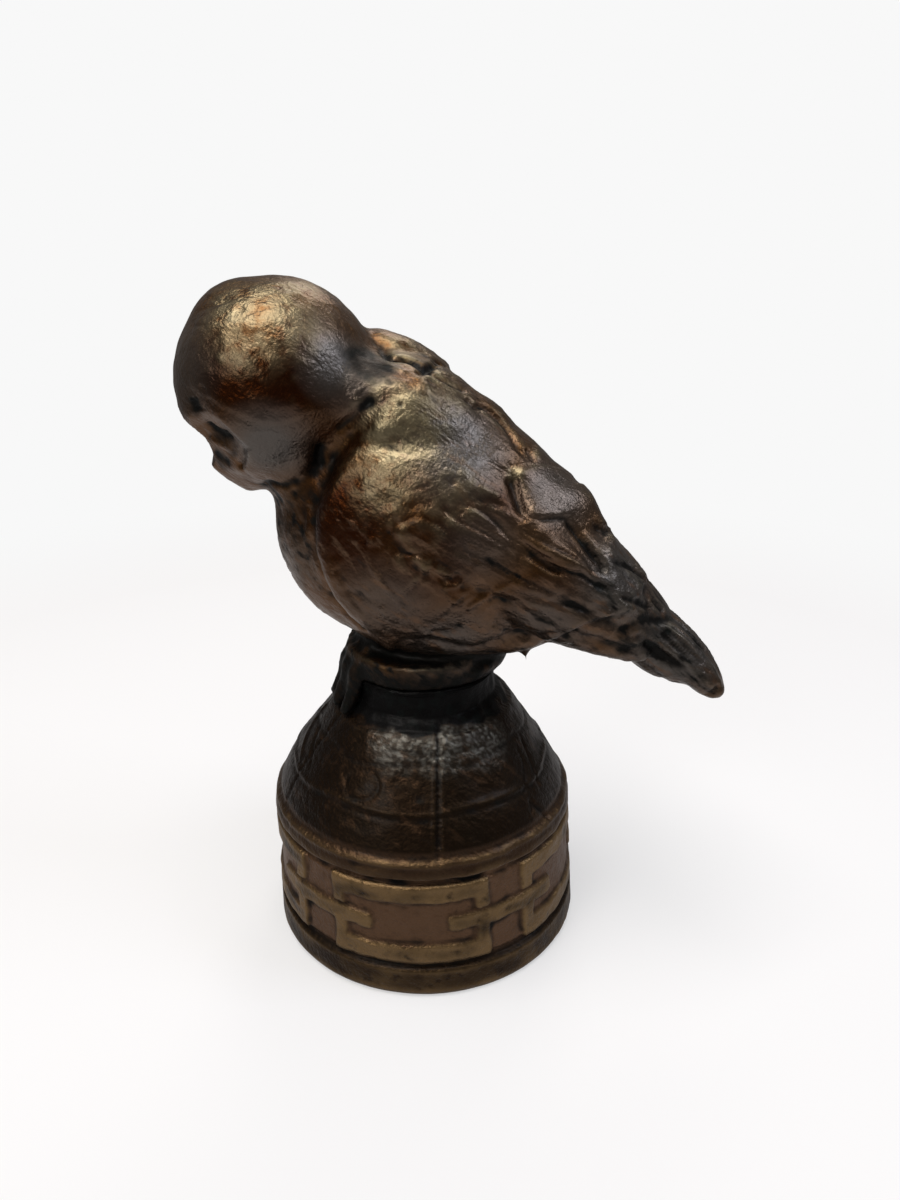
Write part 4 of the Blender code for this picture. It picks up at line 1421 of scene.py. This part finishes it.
@dataclass
class PlinthSkin:
    """The plinth: turned on the wheel in wax, then scored, and given its key pattern."""

    node: str = "plinth"
    slot: str = "plinth_bronze"
    radius: float = 40.0 * MM
    taper: float = 1.3 * MM
    lean: float = 1.5 * MM
    foot_height: float = 8.0 * MM
    foot_rounding: float = 1.6 * MM
    groove_width: float = 2.0 * MM
    groove_depth: float = 1.3 * MM
    fret_height: float = 21.3 * MM
    rim_height: float = 4.6 * MM
    rim_setback: float = 1.7 * MM
    rim_flare: float = 0.5 * MM
    dome_height: float = 24.0 * MM
    dome_top_radius: float = 22.2 * MM
    dome_bulge: float = 0.9 * MM
    dome_foot_step: float = 0.8 * MM
    dome_rows: int = 24
    shoulder_step: float = 2.4 * MM
    neck_height: float = 9.2 * MM
    neck_radius: float = 18.0 * MM
    steps: int = 500
    row: float = 0.5 * MM
    smoothing: int = 2
    fret_units: int = 5
    fret_relief: float = 0.8 * MM
    fret_unit_angle: float = math.radians(58.0)
    fret_first_angle: float = math.radians(-93.8)
    fret_rail: float = 4.7 * MM
    fret_stem: float = 3.7 * MM
    fret_arm: float = 4.3 * MM
    fret_arm_reach: float = 10.8 * MM
    fret_notch: float = 0.7 * MM
    fret_rounding: float = 0.9 * MM
    fret_side: float = 0.75 * MM
    # A pattern cut by hand wanders sideways and upwards, and its bars stand unevenly
    wander: Waves = Waves(5.0, 4.4, 0.6)
    waver: Waves = Waves(4.0, 6.1, 0.45)
    uneven_bars: Waves = Waves(3.3, 7.7, 0.25)
    # What wax, wheel and file leave on the turning, from broad to fine, and more of it on rim and neck
    turning: tuple[Waves, ...] = (Waves(7.0, 1.7, 0.16), Waves(2.2, 5.2, 0.07), Waves(0.8, 9.3, 0.03))
    rough_rim: Waves = Waves(2.0, 7.1, 0.17, (2.2, 2.2, 0.7))
    rough_neck: Waves = Waves(3.0, 8.3, 0.3, (1, 1, 1.6))
    # The unevenness of the patina and of its painted light: the lower edge of the neck's black and painted
    # shade, the rubbing, the arris's wear and painted highlight, the painted glints, and the stains
    ragged: Waves = Waves(4.0, 3.3, 2.2)
    rubbing: Waves = Waves(5.0, 2.9, 0.6, (1.6, 1.6, 1))
    arris_wear_and_highlight: Waves = Waves(3.0, 5.5)
    glints: Waves = Waves(0.8, 8.8, 1.0, (1.8, 1, 1), 0.3)
    stains: Waves = Waves(3.5, 11.2, 1.0, (1.5, 1.5, 1))
    line_step: float = 1.2
    finish: RubbedFret = field(default_factory=lambda: RubbedFret("rubbed_fret_cast_bronze"))

    def build(self) -> bpy.types.Object:
        """Turns the plinth, raises its fret, scores its dome and dresses it.

        Returns:
            The finished piece.
        """
        self.clay = Clay(self.turned())
        self.clay.relax(self.smoothing)
        self.raise_fret()
        self.lean_over()
        self.wobble()
        self.score()
        self.clay.keep_relief()
        self.keep_patina()
        piece = self.clay.obj
        piece.data.materials.append(self.finish.material())
        return piece

    def levels(self) -> dict[str, float]:
        """Adds up the heights of the plinth's parts from the underside.

        Returns:
            The height at which each part ends, by the name of what starts there.
        """
        at = {"foot": self.foot_height}
        at["fret"] = at["foot"] + self.groove_width
        at["groove"] = at["fret"] + self.fret_height
        at["rim"] = at["groove"] + self.groove_width
        at["dome"] = at["rim"] + self.rim_height
        at["shoulder"] = at["dome"] + self.dome_height
        at["top"] = at["shoulder"] + self.neck_height
        return at

    def corners(self) -> list[tuple[float, float]]:
        """Works out the outline's corners, from the neck's top down to the underside.

        Returns:
            Each corner's radius and height.
        """
        at = self.levels()
        rim = self.radius - self.rim_setback
        neck = self.neck_radius
        found = [(neck, at["top"]), (neck, at["top"] - 0.4 * self.neck_height)]
        found.append((neck + 0.2 * self.shoulder_step, at["top"] - 0.72 * self.neck_height))
        found.append((self.dome_top_radius - 0.35 * self.shoulder_step, at["shoulder"] + 0.3 * MM))
        found.append((self.dome_top_radius, at["shoulder"] - 0.5 * MM))
        for drop in range(1, self.dome_rows + 1):
            share = drop / self.dome_rows
            bulge = self.dome_bulge * math.sin(math.pi * share**1.5)
            widening = (rim - self.dome_foot_step - self.dome_top_radius) * share
            found.append((self.dome_top_radius + widening + bulge, at["shoulder"] - self.dome_height * share))
        found.append((rim, at["dome"] - 0.8 * MM))
        found.append((rim + self.rim_flare, at["rim"] + 0.3 * MM))
        for inset, height in (
            (self.groove_depth, at["rim"]),
            (self.groove_depth, at["groove"]),
            (self.fret_relief, at["groove"] - 0.2 * MM),
            (self.fret_relief, at["fret"] + 0.2 * MM),
            (self.groove_depth, at["fret"]),
            (self.groove_depth, at["foot"] + 0.3 * MM),
            (0.0, at["foot"] - 0.4 * MM),
        ):
            found.append((self.radius - self.taper * height / at["rim"] - inset, height))
        found.append((self.radius, self.foot_rounding))
        found.append((self.radius - 0.3 * self.foot_rounding, 0.3 * self.foot_rounding))
        found.append((self.radius - self.foot_rounding, 0.0))
        return found

    def turned(self) -> bpy.types.Object:
        """Spins the outline round Z into small even faces.

        Returns:
            The turned object.
        """
        outline = [(0.0, self.levels()["top"])]
        corners = self.corners()
        for start, end in zip(corners, corners[1:]):
            count = max(1, round(math.dist(start, end) / self.row))
            for step in range(count):
                share = step / count
                outline.append(tuple(a + (b - a) * share for a, b in zip(start, end)))
        outline.append(corners[-1])
        outline += [(0.96 * corners[-1][0], 0.0), (0.6 * corners[-1][0], 0.0), (0.0, 0.0)]
        bm = bmesh.new()
        row = [bm.verts.new((radius, 0.0, height)) for radius, height in outline]
        edges = [bm.edges.new(pair) for pair in zip(row, row[1:])]
        bmesh.ops.spin(
            bm,
            geom=row + edges,
            cent=(0, 0, 0),
            axis=(0, 0, 1),
            angle=2 * math.pi,
            steps=self.steps,
            use_merge=True,
            use_duplicate=False,
        )
        bmesh.ops.remove_doubles(bm, verts=bm.verts, dist=MERGED)
        bmesh.ops.recalc_face_normals(bm, faces=bm.faces)
        return object_from("plinth_skin", bm)

    def fret_cover(self, angle: np.ndarray, height: np.ndarray) -> np.ndarray:
        """Works out how far each place lies on a bar of the key pattern.

        Args:
            angle: each place's angle round the plinth.
            height: its height.

        Returns:
            1 on a bar, 0 on the ground, and between them on a bar's soft side.
        """
        at = self.levels()
        low, high = at["fret"], at["groove"]
        middle = 0.5 * (low + high)
        period = 2 * math.pi / self.fret_units
        half_period = 0.5 * period * self.radius
        around = np.mod(angle - self.fret_first_angle + 0.5 * period, period) - 0.5 * period
        across = np.abs(around) * self.radius
        half = 0.5 * self.fret_unit_angle * self.radius
        arm_low, arm_high = middle - 0.5 * self.fret_arm, middle + 0.5 * self.fret_arm
        bars = [
            (-half, half, high - self.fret_rail, high + MM),
            (-half, half, low - MM, low + self.fret_rail),
            (half - self.fret_stem, half, arm_high + self.fret_notch, high),
            (half - self.fret_stem, half, low, middle),
            (half - self.fret_arm_reach, half_period + 4 * MM, arm_low, arm_high),
        ]
        cover = np.zeros(len(angle))
        rounding, soft = self.fret_rounding, 0.5 * self.fret_side
        for left, right, bottom, top in bars:
            out_x = np.abs(across - 0.5 * (left + right)) - 0.5 * (right - left) + rounding
            out_z = np.abs(height - 0.5 * (bottom + top)) - 0.5 * (top - bottom) + rounding
            outside = np.hypot(np.maximum(out_x, 0), np.maximum(out_z, 0))
            distance = outside + np.minimum(np.maximum(out_x, out_z), 0) - rounding
            cover = np.maximum(cover, smooth_step(-distance, -soft, soft))
        return cover

    def raise_fret(self) -> None:
        """Raises the bars of the key pattern, with the wandering edges of a pattern cut by hand."""
        points = self.clay.points
        height = points[:, 2]
        at = self.levels()
        angle = np.arctan2(points[:, 1], points[:, 0]) + MM * self.wander.over(points) / self.radius
        cover = self.fret_cover(angle, height + MM * self.waver.over(points))
        band = smooth_step(height, at["fret"] - 0.2 * MM, at["fret"] + 0.3 * MM)
        band *= 1 - smooth_step(height, at["groove"] - 0.3 * MM, at["groove"] + 0.2 * MM)
        band *= np.hypot(points[:, 0], points[:, 1]) > 0.9 * self.radius
        self.fret = self.clay.averaged(cover * band, 1, 0.5)
        self.clay.lift += self.fret_relief * cover * band * (1 + self.uneven_bars.over(points))
        self.clay.settle()

    def lean_over(self) -> None:
        """Leans the drum and the dome towards the owl's head, as the cast does."""
        at = self.levels()
        bend = 0.5 * (at["dome"] + at["shoulder"])
        height = self.clay.points[:, 2]
        share = np.where(
            height < bend,
            np.clip(height / bend, 0, 1),
            1 - 0.5 * np.clip((height - bend) / (at["shoulder"] - bend), 0, 1),
        )
        points = self.clay.points.copy()
        points[:, 0] -= self.lean * share
        self.clay.write(points)

    def wobble(self) -> None:
        """Takes the machine's evenness out of the turning, most of all on the rim and the neck."""
        points = self.clay.points
        height = points[:, 2]
        at = self.levels()
        above = smooth_step(height, 0.0, 1.2 * MM)
        for waves in self.turning:
            self.clay.lift += MM * above * waves.over(points)
        rim = smooth_step(height, at["groove"], at["rim"])
        rim = rim * (1 - smooth_step(height, at["dome"], at["dome"] + MM))
        self.clay.lift += MM * rim * self.rough_rim.over(points)
        neck = smooth_step(height, at["shoulder"] - MM, at["shoulder"] + 2 * MM)
        self.clay.lift += MM * neck * self.rough_neck.over(points)
        self.clay.settle()

    def around(self, degrees: float, height: float) -> Hit | None:
        """Finds a place on the skin from outside.

        Args:
            degrees: the angle round from the front.
            height: the height in millimetres.

        Returns:
            The place and its normal, or None where the skin is missed.
        """
        angle = math.radians(degrees)
        out = Vector((math.sin(angle), -math.cos(angle), 0))
        start = 2 * self.radius * out + Vector((0, 0, height * MM))
        place, normal, _, _ = self.clay.tree.ray_cast(start, -out)
        return None if place is None else (place, normal)

    def score(self) -> None:
        """Scores the dome's lines round it, then the marks that the photograph shows."""
        for stroke in DOME_LINES:
            line = [self.around(*step) for step in smooth_path(list(stroke.points), self.line_step)]
            self.clay.press([hit for hit in line if hit], stroke)
        for stroke in DOME_STROKES:
            self.clay.press(self.clay.traced(stroke.points), stroke)
        self.clay.settle()

    def keep_patina(self) -> None:
        """Stores where the fret is rubbed, where the neck is black, partly as painted shade under the owl,
        and where the dome gets a painted sheen and painted glints.
        """
        points = self.clay.points
        height = points[:, 2] / MM
        at = {name: level / MM for name, level in self.levels().items()}
        ragged = self.ragged.over(points)
        # The neck is painted black, partly the patina's black and partly painted shade under the owl
        dark = smooth_step(height + ragged, at["shoulder"] - 0.5, at["shoulder"] + 1.6)
        dome = smooth_step(height, at["dome"], at["dome"] + 2)
        rim = smooth_step(height, at["rim"] - 0.3, at["rim"] + 0.3) * (1 - dome)
        foot = 1 - smooth_step(height, at["foot"] - 1, at["foot"])
        # The rim's top arris is painted golden: partly wear and partly a painted highlight of its bright edge
        arris = np.exp(-(((height - at["dome"] + 0.3 + 0.2 * ragged) / 0.45) ** 2))
        arris = arris * smooth_step(self.arris_wear_and_highlight.over(points), -0.15, 0.25)
        # Painted glints, which break up the dome's painted sheen
        glints = smooth_step(self.glints.over(points), -0.15, 0.45)
        places = [(self.clay.cast(*patch.middle), patch) for patch in DOME_SHINE]
        places = [(hit[0], patch.radius * MM, patch.strength) for hit, patch in places if hit]
        # The painted sheen on the dome's front
        sheen_cover = self.clay.patch(places) * (1 - dark) * (0.12 + 0.6 * glints)
        uneven = 0.68 + self.rubbing.over(points)
        rubbed_and_lit = self.fret * uneven
        for other in (0.38 * arris, 0.22 * rim * uneven, 0.45 * foot * uneven, 0.15 * sheen_cover):
            rubbed_and_lit = np.maximum(rubbed_and_lit, other)
        ground = smooth_step(height, at["foot"], at["fret"]) * (1 - rim) * (1 - dome) * (1 - self.fret)
        stains = smooth_step(self.stains.over(points), 0.1, 0.5) * (1 - dome)
        self.clay.keep("painted_sheen", sheen_cover)
        self.clay.keep("rubbed_and_lit", rubbed_and_lit)
        self.clay.keep("dark", 1.2 * dark + 0.1 * dome * (1 - rubbed_and_lit) + 0.3 * stains)
        self.clay.keep("feathered", 0.5 * dome)
        self.clay.keep("amber_and_room_reflection", 0.6 * foot)
        self.clay.keep("grey_sheen_and_ground", 0.85 * ground + 0.25 * rim)


@dataclass(frozen=True)
class Softbox:
    """A square soft light: its place and width in metres, its power in watts and its colour."""

    name: str
    place: tuple[float, float, float]
    size: float
    power: float
    colour: str

    def hang(self, aim: Vector) -> bpy.types.Object:
        """Hangs the light.

        Args:
            aim: the place that it looks at.

        Returns:
            The light's object.
        """
        light = bpy.data.lights.new(self.name, "AREA")
        light.size = self.size
        light.energy = self.power
        light.color = linear(self.colour)[:3]
        hung = bpy.data.objects.new(self.name, light)
        hung.location = self.place
        hung.rotation_euler = (aim - Vector(self.place)).to_track_quat("-Z", "Y").to_euler()
        bpy.context.scene.collection.objects.link(hung)
        return hung


SOFTBOXES = (
    Softbox("overhead_softbox", (-0.18, -0.12, 0.97), 0.62, 7.5, "#fffaf5"),
    Softbox("back_softbox", (0.12, 0.62, 0.74), 0.35, 1.6, "#fff8f0"),
    Softbox("front_left_softbox", (-0.46, -0.60, 0.52), 0.30, 1.6, "#fffaf5"),
    Softbox("cool_window", (0.68, -0.12, 0.70), 0.36, 2.2, "#e8efff"),
)


@dataclass
class Studio:
    """The pale floor, the soft lights and the camera."""

    floor_radius: float = 3.0
    floor_sides: int = 96
    # Paper lit by the softboxes near the sculpture, which shades into even white between these distances
    floor_near: float = 0.13
    floor_far: float = 0.42
    paper: str = "#f8f8f8"
    near_paper: str = "#fdfdfd"
    lit_paper: str = "#e6e6e8"
    # What the bronze mirrors of the floor and the room is dimmer than what the eye sees of them
    dim_paper: str = "#6a6867"
    dim_wall: str = "#6e6b69"
    dim_ceiling: str = "#8a8886"
    glow_near: float = 0.5
    aim: Vector = field(default_factory=lambda: Vector((0, 0, 90)) * MM)

    def floor(self) -> bpy.types.Object:
        """Lays a round pale floor, which shades into the pale room some way off.

        Returns:
            The floor.
        """
        bm = bmesh.new()
        bmesh.ops.create_circle(bm, cap_ends=True, segments=self.floor_sides, radius=self.floor_radius)
        laid = object_from("floor", bm)
        made = bpy.data.materials.new("pale_paper_floor")
        made.use_nodes = True
        tree = made.node_tree
        tree.nodes.clear()
        place = add(tree, "TexCoord", out="Object")
        away = add(tree, "VectorMath", {0: place}, "Value", operation="LENGTH")
        matt = add(tree, "BsdfDiffuse", {"Color": linear(self.lit_paper)})
        seen = add(tree, "LightPath", out="Is Camera Ray")
        far = add(tree, "MapRange", {0: away, 1: self.floor_near, 2: self.floor_far}, **SOFT_ENDS)
        papers = {0: far, 6: linear(self.near_paper), 7: linear(self.paper)}
        shown = add(tree, "Mix", papers, 2, **COLOURS)
        colour = add(tree, "Mix", {0: seen, 6: linear(self.dim_paper), 7: shown}, 2, **COLOURS)
        glow = add(tree, "Emission", {"Color": colour, "Strength": 1.0})
        share = add(tree, "Math", {0: far, 1: self.glow_near}, operation="MAXIMUM")
        mixed = add(tree, "MixShader", {0: share, 1: matt, 2: glow})
        add(tree, "OutputMaterial", {"Surface": mixed})
        laid.data.materials.append(made)
        return laid

    def room(self) -> None:
        """Makes the room pale to the eye and dim to the bronze, lighter overhead than at the sides."""
        world = bpy.data.worlds.new("studio_room")
        world.use_nodes = True
        tree = world.node_tree
        tree.nodes.clear()
        seen = add(tree, "LightPath", out="Is Camera Ray")
        up = add(tree, "SeparateXYZ", {0: add(tree, "TexCoord", out="Generated")}, "Z")
        overhead = add(tree, "MapRange", {0: up, 1: -0.2, 2: 0.9}, **SOFT_ENDS)
        walls = {0: overhead, 6: linear(self.dim_wall), 7: linear(self.dim_ceiling)}
        dim = add(tree, "Mix", walls, 2, **COLOURS)
        colour = add(tree, "Mix", {0: seen, 6: dim, 7: linear(self.paper)}, 2, **COLOURS)
        background = add(tree, "Background", {"Color": colour, "Strength": 1.0})
        add(tree, "OutputWorld", {"Surface": background})
        bpy.context.scene.world = world

    def camera(self) -> bpy.types.Object:
        """Stands the camera where the photograph was taken from.

        Returns:
            The camera.
        """
        lens = bpy.data.cameras.new("camera")
        lens.sensor_width = SENSOR_MM
        lens.lens = FOCAL_PIXELS / max(PHOTO_SIZE) * SENSOR_MM
        lens.clip_start = 0.01
        stood = bpy.data.objects.new("camera", lens)
        stood.location = CAMERA_PLACE
        stood.rotation_euler = (math.pi / 2 - CAMERA_PITCH, 0, 0)
        bpy.context.scene.collection.objects.link(stood)
        bpy.context.scene.camera = stood
        return stood

    def build(self) -> None:
        """Sets the whole studio up."""
        self.floor()
        self.room()
        for softbox in SOFTBOXES:
            softbox.hang(self.aim)
        self.camera()
        bpy.context.scene.view_settings.view_transform = "Standard"


def main() -> None:
    """Builds the pieces on the frame, attaches each to the root body, hides its solid, and sets the studio
    up.
    """
    logging.basicConfig(level=logging.INFO, format="%(message)s")
    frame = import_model()
    owl = OwlSkin()
    plinth = PlinthSkin()
    for maker, piece in ((owl, owl.build(frame["nodes"][owl.node])), (plinth, plinth.build())):
        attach(piece, "root")
        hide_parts(maker.node)
        LOG.info("%s: %d points", piece.name, len(piece.data.vertices))
    Studio().build()


if __name__ == "__main__":
    main()
